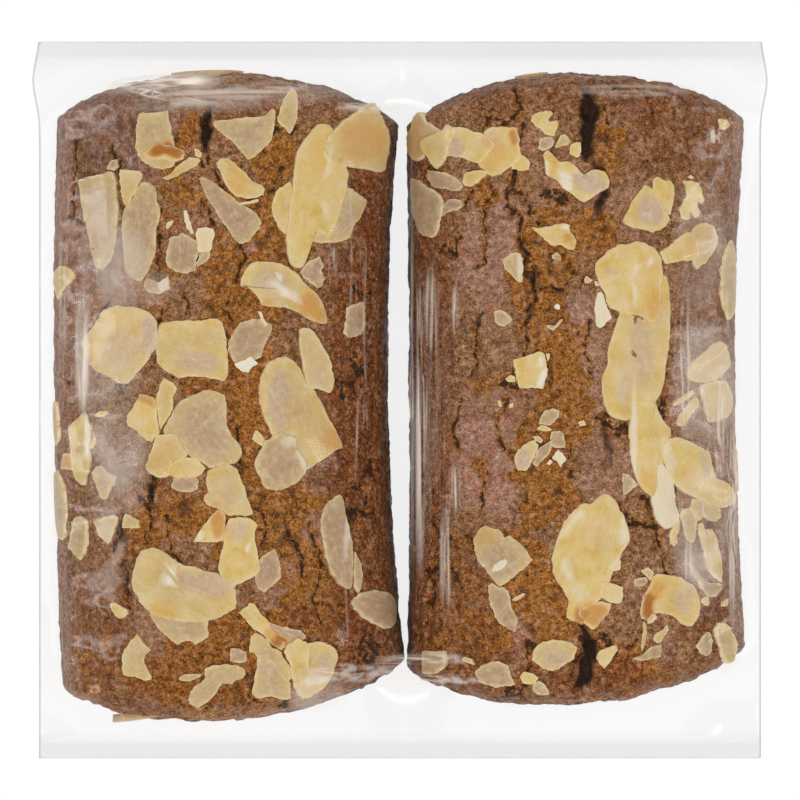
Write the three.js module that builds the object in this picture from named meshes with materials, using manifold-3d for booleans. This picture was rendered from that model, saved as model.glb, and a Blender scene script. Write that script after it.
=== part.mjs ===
// Two filled spiced cookie bars, side by side in one clear sealed film pack.
// Each bar is a domed log with a flat base, blunt bowed ends, baked cracks, and flaked almonds fused
// into its crust. The film is a solid collar round both bars, from their flanks out to the pack's edge.
// Millimetres, +Z up. +Y runs along the bars, to the pack's upper end seen from above. The origin is on
// the plane the bars rest on, under the middle of the pack.

import * as THREE from "three";
import { mergeVertices } from "three/addons/utils/BufferGeometryUtils.js";
import Module from "manifold-3d";

const wasm = await Module();
wasm.setup();

// ---- Driving dimensions

const waistHeight = 8.5;          // height of a bar's widest line
const domePower = 2.4;            // 2 is an ellipse, more is squarer
const footPower = 3.4;            // the same for the rounding under the waist
const footSpread = 1.3;           // over 1 leaves a flat base between the two roundings
const endDrop = 0.9;              // how much lower the dome is at its ends

// A bar's outline from above: a straight log with a slight bow and flare, and arched ends. Skew is how
// far an end leans towards +X, arch is how far its corners lie behind its middle.
const leftBar = {
  middleX: -32.2, tilt: -0.55, bow: 1.85,
  width: 59.9, flare: 1.6, height: 27.2, base: 0,
  upperEnd: 58.7, upperSkew: -0.6, upperArch: 6.3,
  lowerEnd: -57.4, lowerSkew: 2.5, lowerArch: 6,
};
const rightBar = {
  middleX: 30.95, tilt: -0.1, bow: 0.8,
  width: 58.4, flare: 2.5, height: 26.8, base: 0,
  upperEnd: 58.7, upperSkew: 0.45, upperArch: 6.6,
  lowerEnd: -54.6, lowerSkew: 2, lowerArch: 6.2,
};

// Rounding from the crust over the rim and down the end face: share of the full section, and how far
// behind the end that share is reached.
const rimProfile = [[0, 0], [0.6, 0.25], [0.86, 0.8], [0.96, 1.6], [1, 3]];
const crustGrid = { steps: 32, rings: 25 };   // points round a section, and rings between the two rims
const cutterGrid = { steps: 32, rings: 12 };  // the same where a bar's shape cuts the film
const baseDetail = 0.3;           // the flat base gets this share of the points its length would give

const swellSize = [13, 6];        // spacing of the crust's swells, coarse and fine
const swellHeight = [0.9, 0.45];  // from the lowest to the highest point of each
const swellStart = 14;            // the sides are smooth up to this height
const swellFull = 20;             // and the swells are full above this one

const flakeSides = 11;
const flakeDepth = 0.9;           // how deep a flake is set into the crust
const flakeRise = 0.55;           // how far its face stands above the crust
const flakeLayer = 0.6;           // and how much more for each flake it lies on
const flakeBevel = 0.93;          // its face against its foot
const steepest = 0.42;            // cosine of the slope past which a flake is no longer lengthened

const packHalfWidth = 65;
const packHalfLength = 64.5;
const earReach = 1.2;             // how far the film spreads at the corners of the upper seal
const earY = 57.5;
const earLength = 5;
const seamHeight = 9.5;           // height of the film's edge
const seamThickness = 1;          // the film's edge in the solid
const sealBand = 3;               // flat band along the upper and lower edge
const tentReach = 9.5;            // from the edge to where the film meets the bars' ends
const flankReach = 3.6;           // the same beside the bars
const collarHeight = 17;          // the collar ends below the shoulders of the bars
const edgeSteps = 12;             // points along each of the pack's four edges
const clearance = 0.7;            // between the collar and the bars
const betweenWidth = 16;          // open strip between the two bars
const betweenLength = 102;

// ---- Flakes: [x, y, length, width, direction in degrees, shape, layer]

// Shapes a sliced almond breaks into: how pointed its tip is, how bent it is, and straight cuts. A cut is
// its direction from the tip in degrees and its distance from the middle as a share of the half length.
const flakeShapes = {
  whole: { tip: 0.45, bend: 0, cuts: [] },
  oval: { tip: 0.1, bend: 0, cuts: [] },
  blunt: { tip: 0.4, bend: 0, cuts: [[180, 0.62]] },
  fan: { tip: 0, bend: 0, cuts: [[145, 0.42], [-120, 0.5]] },
  triangle: { tip: 0, bend: 0, cuts: [[60, 0.45], [180, 0.45], [300, 0.45]] },
  square: { tip: 0, bend: 0, cuts: [[0, 0.76], [90, 0.74], [180, 0.78], [270, 0.72]] },
  pentagon: { tip: 0, bend: 0, cuts: [[20, 0.84], [92, 0.8], [165, 0.82], [236, 0.86], [308, 0.8]] },
  bent: { tip: 0.25, bend: 0.28, cuts: [] },
};

const leftFlakes = [
  [-43.9, 46.6, 10.8, 6.8, -92, "blunt", 0], [-54, 32.4, 17.6, 6.5, -86, "blunt", 0],
  [-46.3, 30.2, 17.6, 6.8, 88, "whole", 0], [-28.6, 39.6, 9.9, 4.3, -40, "oval", 0],
  [-27.9, 48.2, 8.3, 10.8, -80, "triangle", 0], [-15.3, 36.5, 26.6, 7.9, 78, "whole", 1],
  [-8.5, 46.4, 11.9, 10.8, 35, "fan", 1], [-20.7, 34.6, 9.4, 5.4, 90, "oval", 0],
  [-11.2, 33.1, 10.8, 9, 60, "pentagon", 0], [-31, 33.8, 14.4, 6.1, -52, "whole", 0],
  [-38.9, 26.3, 7.2, 6.1, 80, "pentagon", 0], [-20.9, 19.3, 16.6, 8.1, -30, "whole", 0],
  [-26.8, 10.1, 9.7, 7.6, 75, "pentagon", 0], [-14.9, 7.2, 12.6, 4.7, -72, "whole", 0],
  [-18.4, -1.4, 20.7, 11.2, -60, "oval", 1], [-21.4, -11, 10.4, 9, 90, "pentagon", 1],
  [-50.2, 9.9, 14, 13.5, 90, "pentagon", 0], [-37.3, 9, 12.6, 10.4, 0, "square", 0],
  [-41.9, -0.4, 9, 4, 75, "oval", 0], [-45.7, -3.2, 8.3, 5.4, 100, "fan", 0],
  [-35.1, -5, 14, 13, 60, "oval", 0], [-41.8, -9.9, 7.9, 7.2, 60, "fan", 1],
  [-56.7, -9, 13, 4.3, 95, "whole", 0], [-61.2, -18.9, 12.6, 3.2, 92, "oval", 0],
  [-30.6, -16.2, 9, 7.9, 80, "square", 0], [-29, -27.4, 13, 6.5, 85, "blunt", 0],
  [-38.5, -33.1, 19.1, 10.4, 165, "whole", 1], [-39.6, -40.5, 10.8, 7.2, -10, "oval", 0],
  [-47.2, -45.9, 7.9, 4.7, 70, "fan", 0], [-32.9, -51.1, 11.2, 4.7, 35, "bent", 0],
  [-23.2, -50.4, 6.8, 6.5, 0, "fan", 1], [-15.8, -48.2, 10.4, 8.6, 70, "fan", 1],
  [-23.4, -45.4, 9, 5.8, -50, "square", 0], [-25, -40.5, 10.8, 3.6, -45, "oval", 0],
  [-11.7, -25.6, 17.6, 5.6, -80, "whole", 0], [-4.1, -37.4, 7.6, 6.8, 0, "oval", 0],
  [-4.4, -46.4, 6.5, 5.8, 60, "pentagon", 0],
];

const rightFlakes = [
  [3.9, 47.2, 9, 5.4, 90, "whole", 0], [7.2, 45, 7.2, 5.8, -90, "triangle", 1],
  [13, 45.7, 9, 7.2, 0, "pentagon", 0], [18.4, 44.6, 9, 7.2, 90, "square", 0],
  [4.6, 34.6, 11.2, 5, -72, "whole", 0], [32.4, 38.9, 10.8, 7.2, -25, "fan", 0],
  [27.4, 29.5, 8.3, 4.3, 170, "triangle", 0], [23.2, 5.2, 6.1, 5.8, 10, "square", 0],
  [41, 21.4, 14, 12.2, -80, "oval", 1], [42.3, 8.1, 25.2, 11.2, -98, "whole", 0],
  [44.6, -7.2, 20.2, 6.8, -75, "bent", 1], [52.7, -12.8, 15.1, 7.2, -40, "whole", 1],
  [47.2, -17.5, 11.9, 4.3, -83, "whole", 0], [55.3, -27.4, 10.4, 4, -75, "whole", 0],
  [53.3, -30.6, 10.8, 5.4, -60, "oval", 0], [49.9, 27.2, 6.8, 5, 25, "fan", 0],
  [43.9, 34, 8.3, 7.9, 90, "triangle", 0], [59, 21.6, 14.4, 2.9, 90, "whole", 0],
  [55.3, 6.8, 7.6, 6.1, 45, "fan", 0], [57.2, -0.4, 7.2, 5.4, 90, "oval", 0],
  [34, -28.4, 23, 13.3, -100, "whole", 0], [48.2, -35.8, 9.7, 9, 180, "fan", 0],
  [18.2, -27.7, 10.4, 10.4, -30, "fan", 0], [18.4, -37.1, 9, 4.3, -65, "blunt", 0],
  [27.5, -45.7, 7.9, 5.8, 0, "pentagon", 0], [58, -43.2, 8.3, 4.3, 90, "oval", 0],
];

// Flakes caught on the end faces: [x, height, length, width], at the upper (1) or lower (-1) end
const endFlakes = {
  left: [[-34.6, 17, 13, 7, 1], [-46.9, 15, 9.6, 6, -1]],
  right: [[23.6, 16, 6, 6, 1]],
};

// ---- Cracks: width, depth, and the points each one runs through from above
const leftCracks = [
  { width: 2.4, depth: 3, path: [[-34.2, 53.4], [-34.6, 49.5], [-34.9, 44.8]] },
  { width: 1.5, depth: 1.6, path: [[-45.5, -13.9], [-43.9, -19.8]] },
  { width: 1.6, depth: 1.6, path: [[-51.7, -20.3], [-50.1, -24], [-49.3, -27.5]] },
  { width: 1.5, depth: 1.4, path: [[-50, -29], [-49.4, -33], [-48.6, -36.5]] },
];
const rightCracks = [
  { width: 3.4, depth: 3.4, path: [[33.7, 56.6], [34.2, 50.4], [33.3, 43.3]] },
  { width: 1.7, depth: 2, path: [[34.4, 43.5], [37.6, 38.7], [36, 36], [34.6, 31.5]] },
  { width: 1.5, depth: 1.6, path: [[21.6, 29.7], [22.3, 24.3], [24.3, 18.9]] },
  { width: 1.3, depth: 1.4, path: [[36, -2.7], [37.1, -7.2], [37.1, -12.6]] },
  { width: 3, depth: 3.2, path: [[32.9, -40.5], [34.2, -45], [32.9, -49.5], [32, -52]] },
];
const crackFloor = 0.25;          // width of a crack's floor against its mouth
const crackTail = 0.3;            // width and depth of its two ends against its middle
const crackHeadroom = 1.6;        // the cutter's height above the crust

// ---- Small helpers

function clamp(value, low, high) {
  return Math.min(high, Math.max(low, value));
}

function blend(a, b, share) {
  return a + (b - a) * share;
}

function smoothStep(low, high, value) {
  const share = clamp((value - low) / (high - low), 0, 1);
  return share * share * (3 - 2 * share);
}

// Signed power, which keeps the sign of its base
function power(value, exponent) {
  return Math.sign(value) * Math.abs(value) ** exponent;
}

// A closed geometry as a solid that can be joined and cut
function toSolid(geometry) {
  const bare = geometry.clone();
  bare.deleteAttribute("normal");
  bare.deleteAttribute("uv");
  const merged = mergeVertices(bare, 1e-4);
  const index = merged.index.array;
  const corners = [];
  for (let i = 0; i < index.length; i += 3) {
    const [a, b, c] = [index[i], index[i + 1], index[i + 2]];
    if (a !== b && b !== c && c !== a) {
      corners.push(a, b, c);
    }
  }
  return new wasm.Manifold(new wasm.Mesh({
    numProp: 3,
    vertProperties: new Float32Array(merged.attributes.position.array),
    triVerts: new Uint32Array(corners),
  }));
}

function toGeometry(solid) {
  const mesh = solid.getMesh();
  const geometry = new THREE.BufferGeometry();
  geometry.setAttribute("position", new THREE.BufferAttribute(mesh.vertProperties, 3));
  geometry.setIndex(new THREE.BufferAttribute(mesh.triVerts, 1));
  geometry.computeVertexNormals();
  return geometry;
}

// Moves every vertex of a geometry to place(x, y, z), and returns the result as a solid
function shapeSolid(geometry, place) {
  const position = geometry.attributes.position;
  for (let i = 0; i < position.count; i++) {
    const point = place(position.getX(i), position.getY(i), position.getZ(i));
    position.setXYZ(i, point.x, point.y, point.z);
  }
  return toSolid(geometry);
}

// Repeatable value between 0 and 1 for a whole-number lattice point
function latticeValue(i, j) {
  const value = Math.sin(i * 12.9898 + j * 78.233) * 43758.5453;
  return value - Math.floor(value);
}

// Smooth noise between 0 and 1, with one lattice point to each unit
function smoothNoise(x, y) {
  const i = Math.floor(x);
  const j = Math.floor(y);
  const u = smoothStep(0, 1, x - i);
  const v = smoothStep(0, 1, y - j);
  const near = blend(latticeValue(i, j), latticeValue(i + 1, j), u);
  const far = blend(latticeValue(i, j + 1), latticeValue(i + 1, j + 1), u);
  return blend(near, far, v);
}

// ---- The log's surface
// Along a bar, t runs from -1 at its lower end to 1 at its upper end. Round a section, the angle starts
// at the +X waist and passes over the dome.

function centreAt(bar, t) {
  return bar.middleX + bar.tilt * t + bar.bow * t * t;
}

function halfWidthAt(bar, t) {
  return (bar.width + bar.flare * t * t) / 2;
}

function heightAt(bar, t) {
  return bar.height - endDrop * t ** 4;
}

// The y of station t, where u is the distance across as a share of the half width
function lengthwise(bar, t, u) {
  const upper = bar.upperEnd + bar.upperSkew * u - bar.upperArch * u * u;
  const lower = bar.lowerEnd + bar.lowerSkew * u + bar.lowerArch * u * u;
  return blend(lower, upper, (1 + t) / 2);
}

function stationOf(bar, y, u) {
  const upper = lengthwise(bar, 1, u);
  const lower = lengthwise(bar, -1, u);
  return clamp((2 * y - upper - lower) / (upper - lower), -1, 1);
}

// Distance from the bar's centre line, and height, at an angle round the section of station t
function sectionPoint(bar, t, angle) {
  const sine = Math.sin(angle);
  const rounding = sine >= 0 ? domePower : footPower;
  const across = halfWidthAt(bar, t) * power(Math.cos(angle), 2 / rounding);
  const rise = Math.abs(sine) ** (2 / rounding);
  if (sine >= 0) {
    return { across, z: waistHeight + (heightAt(bar, t) - waistHeight) * rise };
  }
  const dip = waistHeight - (waistHeight - bar.base) * footSpread * rise;
  return { across, z: Math.max(bar.base, dip) };
}

// Lengths round the middle section from one angle to another, for even steps and for laying flakes
function measureSection(bar, from, to, baseShare) {
  const steps = 360;
  const table = [{ angle: from, length: 0 }];
  let last = sectionPoint(bar, 0, from);
  let length = 0;
  for (let i = 1; i <= steps; i++) {
    const angle = blend(from, to, i / steps);
    const next = sectionPoint(bar, 0, angle);
    const onBase = next.z <= bar.base && last.z <= bar.base;
    length += Math.hypot(next.across - last.across, next.z - last.z) * (onBase ? baseShare : 1);
    table.push({ angle, length });
    last = next;
  }
  return table;
}

// Reads a table of rising values: the result at which `key` reaches `value`
function readTable(table, key, result, value) {
  const rising = table[table.length - 1][key] > table[0][key];
  let i = 1;
  while (i < table.length - 1 && (table[i][key] < value) === rising) {
    i++;
  }
  const [a, b] = [table[i - 1], table[i]];
  const share = b[key] === a[key] ? 0 : (value - a[key]) / (b[key] - a[key]);
  return blend(a[result], b[result], clamp(share, 0, 1));
}

// Outward direction of the section at an angle, square to its curve
function sectionNormal(bar, t, angle) {
  const step = 0.01;
  const a = sectionPoint(bar, t, angle - step);
  const b = sectionPoint(bar, t, angle + step);
  return new THREE.Vector3(b.z - a.z, 0, a.across - b.across).normalize();
}

// The point of the smooth crust at angle and y, moved out by `lift` along its normal
function crustPoint(bar, angle, y, lift) {
  const guess = sectionPoint(bar, 0, angle);
  const t = stationOf(bar, y, guess.across / halfWidthAt(bar, 0));
  const point = sectionPoint(bar, t, angle);
  const out = sectionNormal(bar, t, angle).multiplyScalar(lift);
  return new THREE.Vector3(centreAt(bar, t) + point.across, y, point.z).add(out);
}

// The dome's angle under a point seen from above
function angleUnder(bar, x, y) {
  const t = stationOf(bar, y, 0);
  const u = clamp((x - centreAt(bar, t)) / halfWidthAt(bar, t), -0.998, 0.998);
  return Math.acos(power(u, domePower / 2));
}

// ---- Pieces of a bar

function makeDough(bar, grid, hasSwells) {
  const halfLength = (bar.upperEnd - bar.lowerEnd) / 2;
  const profile = [];
  for (const [share, inset] of rimProfile) {
    profile.push(new THREE.Vector2(share, -1 + inset / halfLength));
  }
  const rim = 1 - rimProfile[rimProfile.length - 1][1] / halfLength;
  for (let i = 1; i < grid.rings; i++) {
    profile.push(new THREE.Vector2(1, blend(-rim, rim, i / grid.rings)));
  }
  for (const [share, inset] of [...rimProfile].reverse()) {
    profile.push(new THREE.Vector2(share, 1 - inset / halfLength));
  }
  const round = measureSection(bar, 0, 2 * Math.PI, baseDetail);
  const perimeter = round[round.length - 1].length;
  const lathe = new THREE.LatheGeometry(profile, grid.steps);
  return shapeSolid(lathe, (x, t, z) => {
    const share = Math.hypot(x, z);
    const turn = (1 - Math.atan2(x, z) / (2 * Math.PI)) % 1;
    const angle = readTable(round, "length", "angle", turn * perimeter);
    const point = sectionPoint(bar, t, angle);
    const across = point.across * share;
    const y = lengthwise(bar, t, across / halfWidthAt(bar, t));
    const height = waistHeight + (point.z - waistHeight) * share;
    const place = new THREE.Vector3(centreAt(bar, t) + across, y, height);
    const swell = hasSwells ? swellAt(place.x, y) * smoothStep(swellStart, swellFull, height) : 0;
    return place.add(sectionNormal(bar, t, angle).multiplyScalar(swell));
  });
}

// How far the crust swells out or sinks in at a point seen from above
function swellAt(x, y) {
  let swell = 0;
  for (const [i, size] of swellSize.entries()) {
    swell += swellHeight[i] * (smoothNoise(x / size + 17 * i, y / size + 31 * i) - 0.5);
  }
  return swell;
}

// Outline of a broken almond slice of the given length and width: its corners round the middle
function flakeOutline(shapeName, length, width) {
  const shape = flakeShapes[shapeName];
  const points = [];
  for (let i = 0; i < flakeSides; i++) {
    const angle = (2 * Math.PI * i) / flakeSides;
    const taper = 1 - shape.tip * Math.max(0, Math.cos(angle)) ** 1.5;
    const rim = new THREE.Vector2(Math.cos(angle), Math.sin(angle) * taper);
    for (const [degrees, distance] of shape.cuts) {
      const towards = new THREE.Vector2(Math.cos(degrees * Math.PI / 180), Math.sin(degrees * Math.PI / 180));
      const reach = rim.dot(towards);
      if (reach > distance) {
        rim.multiplyScalar(distance / reach);
      }
    }
    rim.y -= shape.bend * (1 - rim.x * rim.x);
    points.push(rim);
  }
  const box = new THREE.Box2().setFromPoints(points);
  const size = box.getSize(new THREE.Vector2());
  const middle = box.getCenter(new THREE.Vector2());
  return points.map((p) => new THREE.Vector2(
    (p.x - middle.x) * length / size.x,
    (p.y - middle.y) * width / size.y,
  ));
}

// A flake as a disc of flakeSides sides, 1 in radius, whose foot is at -1 and face at 1
function flakeBlank() {
  const profile = [[0, -1], [1, -1], [flakeBevel, 1], [0, 1]];
  return new THREE.LatheGeometry(profile.map(([r, y]) => new THREE.Vector2(r, y)), flakeSides);
}

// Calls place(dx, dy, level) for each vertex, in the flake's own plane turned by `degrees`
function shapeFlake(outline, degrees, place) {
  const turn = degrees * Math.PI / 180;
  const middle = new THREE.Vector2();
  return shapeSolid(flakeBlank(), (x, level, z) => {
    const radius = Math.hypot(x, z);
    const side = Math.round((Math.atan2(x, z) / (2 * Math.PI) + 1) * flakeSides) % flakeSides;
    const corner = outline[side].clone().multiplyScalar(radius).rotateAround(middle, turn);
    return place(corner.x, corner.y, level);
  });
}

function makeFlake(bar, flake, grow) {
  const [x, y, length, width, degrees, shapeName, layer] = flake;
  const girth = measureSection(bar, 1.3 * Math.PI, -0.3 * Math.PI, 1);
  const centreAngle = angleUnder(bar, x, y);
  const along = readTable(girth, "angle", "length", centreAngle);
  const slope = sectionNormal(bar, stationOf(bar, y, 0), centreAngle).z;
  const stretch = 1 / Math.max(steepest, slope);
  const outline = flakeOutline(shapeName, length + 2 * grow, width + 2 * grow);
  return shapeFlake(outline, degrees, (dx, dy, level) => {
    const angle = readTable(girth, "length", "angle", along + dx * stretch);
    const lift = level > 0 ? flakeRise + flakeLayer * layer + grow : -flakeDepth;
    return crustPoint(bar, angle, y + dy, lift);
  });
}

function makeEndFlake(bar, flake, grow) {
  const [x, height, length, width, end] = flake;
  const outline = flakeOutline("pentagon", length + 2 * grow, width + 2 * grow);
  return shapeFlake(outline, 0, (dx, dz, level) => {
    const u = (x - dx - centreAt(bar, end)) / halfWidthAt(bar, end);
    const lift = level * end > 0 ? flakeRise + grow : -flakeDepth - flakeRise;
    return new THREE.Vector3(x - dx, lengthwise(bar, end, u) + end * lift, height + dz);
  });
}

// A wedge along a crack's path, wide at the mouth and narrow at the floor, tapering at both ends
function makeCrackCutter(bar, crack) {
  const path = new THREE.CatmullRomCurve3(crack.path.map(([x, y]) => new THREE.Vector3(x, y, 0)));
  const steps = 2 * crack.path.length;
  const box = new THREE.BoxGeometry(1, 1, 1, 1, steps, 1);
  return shapeSolid(box, (side, along, level) => {
    const share = 0.5 - along;
    const middle = path.getPoint(share);
    const heading = path.getTangent(share);
    const fullness = blend(crackTail, 1, Math.sin(Math.PI * share));
    const offset = side * crack.width * fullness * (level > 0 ? 1 : crackFloor);
    const x = middle.x - heading.y * offset;
    const y = middle.y + heading.x * offset;
    const lift = level > 0 ? crackHeadroom : -crack.depth * fullness;
    return crustPoint(bar, angleUnder(bar, x, y), y, lift);
  });
}

function makeBar(bar, flakes, faces, cracks) {
  let solid = makeDough(bar, crustGrid, true);
  for (const crack of cracks) {
    solid = solid.subtract(makeCrackCutter(bar, crack));
  }
  return addFlakes(solid, bar, flakes, faces, 0);
}

// The space the film leaves for a bar: its shape without swells and cracks, larger by `grow` all round
function makeBarSpace(bar, flakes, faces, grow) {
  const grown = {
    ...bar,
    width: bar.width + 2 * grow,
    height: bar.height + grow,
    base: bar.base - grow,
    upperEnd: bar.upperEnd + grow,
    lowerEnd: bar.lowerEnd - grow,
  };
  return addFlakes(makeDough(grown, cutterGrid, false), bar, flakes, faces, grow);
}

function addFlakes(dough, bar, flakes, faces, grow) {
  let solid = dough;
  for (const flake of flakes) {
    solid = solid.add(makeFlake(bar, flake, grow));
  }
  for (const face of faces) {
    solid = solid.add(makeEndFlake(bar, face, grow));
  }
  return solid;
}

// ---- The film's collar

// Point of the pack's outline a share of the way round, from the lower left corner past the lower edge
function packOutline(share) {
  const corners = [[-1, -1], [1, -1], [1, 1], [-1, 1]];
  const side = Math.floor(share * 4) % 4;
  const [from, to] = [corners[side], corners[(side + 1) % 4]];
  const part = share * 4 - Math.floor(share * 4);
  const y = packHalfLength * blend(from[1], to[1], part);
  const ear = earReach * Math.exp(-(((y - earY) / earLength) ** 2));
  const halfWidth = packHalfWidth + ear;
  return { x: halfWidth * blend(from[0], to[0], part), y, halfWidth, atEnd: side % 2 === 0 };
}

// Rings of the collar from its underside to its upper face: the inset from the outline at the sealed
// ends and at the flanks, and the height there
function collarRings() {
  const low = seamHeight - seamThickness / 2;
  const high = seamHeight + seamThickness / 2;
  return [
    { end: tentReach, flank: flankReach, zEnd: 0, zFlank: 0 },
    { end: sealBand, flank: flankReach / 3, zEnd: low, zFlank: low / 2.4 },
    { end: 0, flank: 0, zEnd: low, zFlank: low },
    { end: 0, flank: 0, zEnd: high, zFlank: high },
    { end: sealBand, flank: flankReach / 3, zEnd: high, zFlank: blend(high, collarHeight, 0.6) },
    { end: tentReach, flank: flankReach, zEnd: collarHeight, zFlank: collarHeight },
  ];
}

function makePillow() {
  const rings = collarRings();
  const profile = [new THREE.Vector2(0, -1)];
  for (let i = 0; i < rings.length; i++) {
    profile.push(new THREE.Vector2(1, i));
  }
  profile.push(new THREE.Vector2(0, rings.length));
  const steps = 4 * edgeSteps;
  return shapeSolid(new THREE.LatheGeometry(profile, steps), (x, row, z) => {
    if (Math.hypot(x, z) < 0.5) {
      return new THREE.Vector3(0, 0, row < 0 ? 0 : collarHeight);
    }
    const ring = rings[Math.round(row)];
    const turn = Math.round((Math.atan2(x, z) / (2 * Math.PI) + 1) * steps) % steps;
    const edge = packOutline(turn / steps);
    const nearCorner = Math.min(1, (packHalfLength - Math.abs(edge.y)) / tentReach);
    const flat = edge.atEnd ? 1 : 1 - smoothStep(0, 1, nearCorner);
    const height = blend(ring.zFlank, ring.zEnd, flat);
    const reachX = edge.halfWidth - ring.flank;
    const reachY = packHalfLength - ring.end;
    return new THREE.Vector3(clamp(edge.x, -reachX, reachX), clamp(edge.y, -reachY, reachY), height);
  });
}

function makeCollar(barSpaces) {
  const between = toSolid(new THREE.BoxGeometry(betweenWidth, betweenLength, 4 * collarHeight));
  let collar = makePillow().subtract(between);
  for (const space of barSpaces) {
    collar = collar.subtract(space);
  }
  const pieces = collar.decompose();
  pieces.sort((a, b) => b.volume() - a.volume());
  return pieces[0];
}

// ---- Materials

const crust = new THREE.MeshStandardMaterial({ color: "#8a5f40", roughness: 0.6, metalness: 0 });
const film = new THREE.MeshStandardMaterial({
  color: "#eef0f1", roughness: 0.15, metalness: 0, transparent: true, opacity: 0.35,
});

// ---- The pack

const pack = new THREE.Group();

function addPiece(name, solid, material) {
  const mesh = new THREE.Mesh(toGeometry(solid), material);
  mesh.name = name;
  pack.add(mesh);
}

const barParts = [
  { name: "bar_left", bar: leftBar, flakes: leftFlakes, faces: endFlakes.left, cracks: leftCracks },
  { name: "bar_right", bar: rightBar, flakes: rightFlakes, faces: endFlakes.right, cracks: rightCracks },
];
const barSpaces = [];
for (const { name, bar, flakes, faces, cracks } of barParts) {
  addPiece(name, makeBar(bar, flakes, faces, cracks), crust);
  barSpaces.push(makeBarSpace(bar, flakes, faces, clearance));
}
addPiece("film", makeCollar(barSpaces), film);

export default pack;
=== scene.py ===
import bpy
import numpy as np
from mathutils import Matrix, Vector


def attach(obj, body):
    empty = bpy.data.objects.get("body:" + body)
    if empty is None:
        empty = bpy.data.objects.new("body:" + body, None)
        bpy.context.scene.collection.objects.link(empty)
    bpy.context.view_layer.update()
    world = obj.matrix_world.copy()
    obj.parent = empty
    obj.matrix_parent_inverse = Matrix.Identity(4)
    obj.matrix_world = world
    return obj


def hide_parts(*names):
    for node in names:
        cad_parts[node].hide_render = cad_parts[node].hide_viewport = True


# Two filled spiced cookie bars with flaked almonds, side by side in one clear sealed film pack.
# Shapes are worked out in millimetres, with the same driving values as the part's source, and turned to
# metres when a mesh is made. +Y runs along the bars, to the pack's upper end seen from above.
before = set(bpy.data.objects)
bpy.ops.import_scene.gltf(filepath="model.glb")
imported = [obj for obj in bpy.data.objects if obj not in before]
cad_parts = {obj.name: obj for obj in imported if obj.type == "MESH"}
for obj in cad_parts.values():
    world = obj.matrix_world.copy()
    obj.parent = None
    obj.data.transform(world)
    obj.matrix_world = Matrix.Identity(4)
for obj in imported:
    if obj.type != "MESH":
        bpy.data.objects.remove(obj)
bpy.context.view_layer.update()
scene = bpy.context.scene
print("frame loaded")


# ---- small helpers

def linear(hexColour):
    # sRGB hex to linear: (c + 0.055) / 1.055 to the power 2.4, and c / 12.92 near black
    c = np.array([int(hexColour[i:i + 2], 16) for i in (1, 3, 5)]) / 255
    c = np.where(c <= 0.04045, c / 12.92, ((c + 0.055) / 1.055) ** 2.4)
    return (*c.tolist(), 1.0)


def smoothStep(low, high, value):
    # 0 up to low and 1 from high on, and between them the cubic 3 s^2 - 2 s^3; low may be the greater
    share = np.clip((value - low) / (high - low), 0, 1)
    return share * share * (3 - 2 * share)


def signedPower(value, exponent):
    # size of the value to the power, with the value's sign
    return np.sign(value) * np.abs(value) ** exponent


def latticeValue(i, j, k):
    # repeatable value from 0 to 1 at a whole-number point: the far decimals of a sine
    value = np.sin(i * 12.9898 + j * 78.233 + k * 37.719) * 43758.5453
    return value - np.floor(value)


def flatNoise(x, y):
    # smooth noise from 0 to 1: lattice values blended over each unit square
    i, j = np.floor(x), np.floor(y)
    u, v = smoothStep(0, 1, x - i), smoothStep(0, 1, y - j)
    near = latticeValue(i, j, 0) * (1 - u) + latticeValue(i + 1, j, 0) * u
    far = latticeValue(i, j + 1, 0) * (1 - u) + latticeValue(i + 1, j + 1, 0) * u
    return near * (1 - v) + far * v


def noise(p, size, seed=0):
    # smooth noise from 0 to 1 in space: lattice values blended over cubes of the given size
    q = p / np.array(size, float) + seed * 17.3
    base = np.floor(q)
    u = smoothStep(0, 1, q - base)
    total = 0
    for corner in np.ndindex(2, 2, 2):
        weight = np.prod(np.where(np.array(corner) == 1, u, 1 - u), axis=-1)
        total = total + weight * latticeValue(*np.moveaxis(base + corner, -1, 0))
    return total


def ripple(p, height, size, seed):
    # noise about 0, the given height from its lowest to its highest
    return height * (noise(p, size, seed) - 0.5)


def cells(p, size, seed=0):
    # distances, in cells, to the nearest and next nearest of points set one to a cube, and the nearest's value
    q = p / np.array(size, float) + seed * 11.7
    base = np.floor(q)
    nearest = np.full(q.shape[:-1], 9.0)
    second = nearest.copy()
    own = np.zeros_like(nearest)
    for step in np.ndindex(3, 3, 3):
        cube = base + np.array(step) - 1
        i, j, k = np.moveaxis(cube, -1, 0)
        spot = np.stack([latticeValue(i, j, k), latticeValue(i + 41, j, k), latticeValue(i, j + 73, k)], -1)
        away = np.linalg.norm(cube + 0.1 + 0.8 * spot - q, axis=-1)
        second = np.minimum(second, np.maximum(nearest, away))
        own = np.where(away < nearest, latticeValue(i, j, k + 57), own)
        nearest = np.minimum(nearest, away)
    return nearest, second, own


def gridQuads(rows, columns):
    # corner numbers of the quads of a grid whose rows close on themselves, from row to next row, then column
    j, i = np.meshgrid(np.arange(rows - 1), np.arange(columns), indexing="ij")
    k = (i + 1) % columns
    corners = [j * columns + i, (j + 1) * columns + i, (j + 1) * columns + k, j * columns + k]
    return np.stack(corners, -1).reshape(-1, 4)


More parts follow.
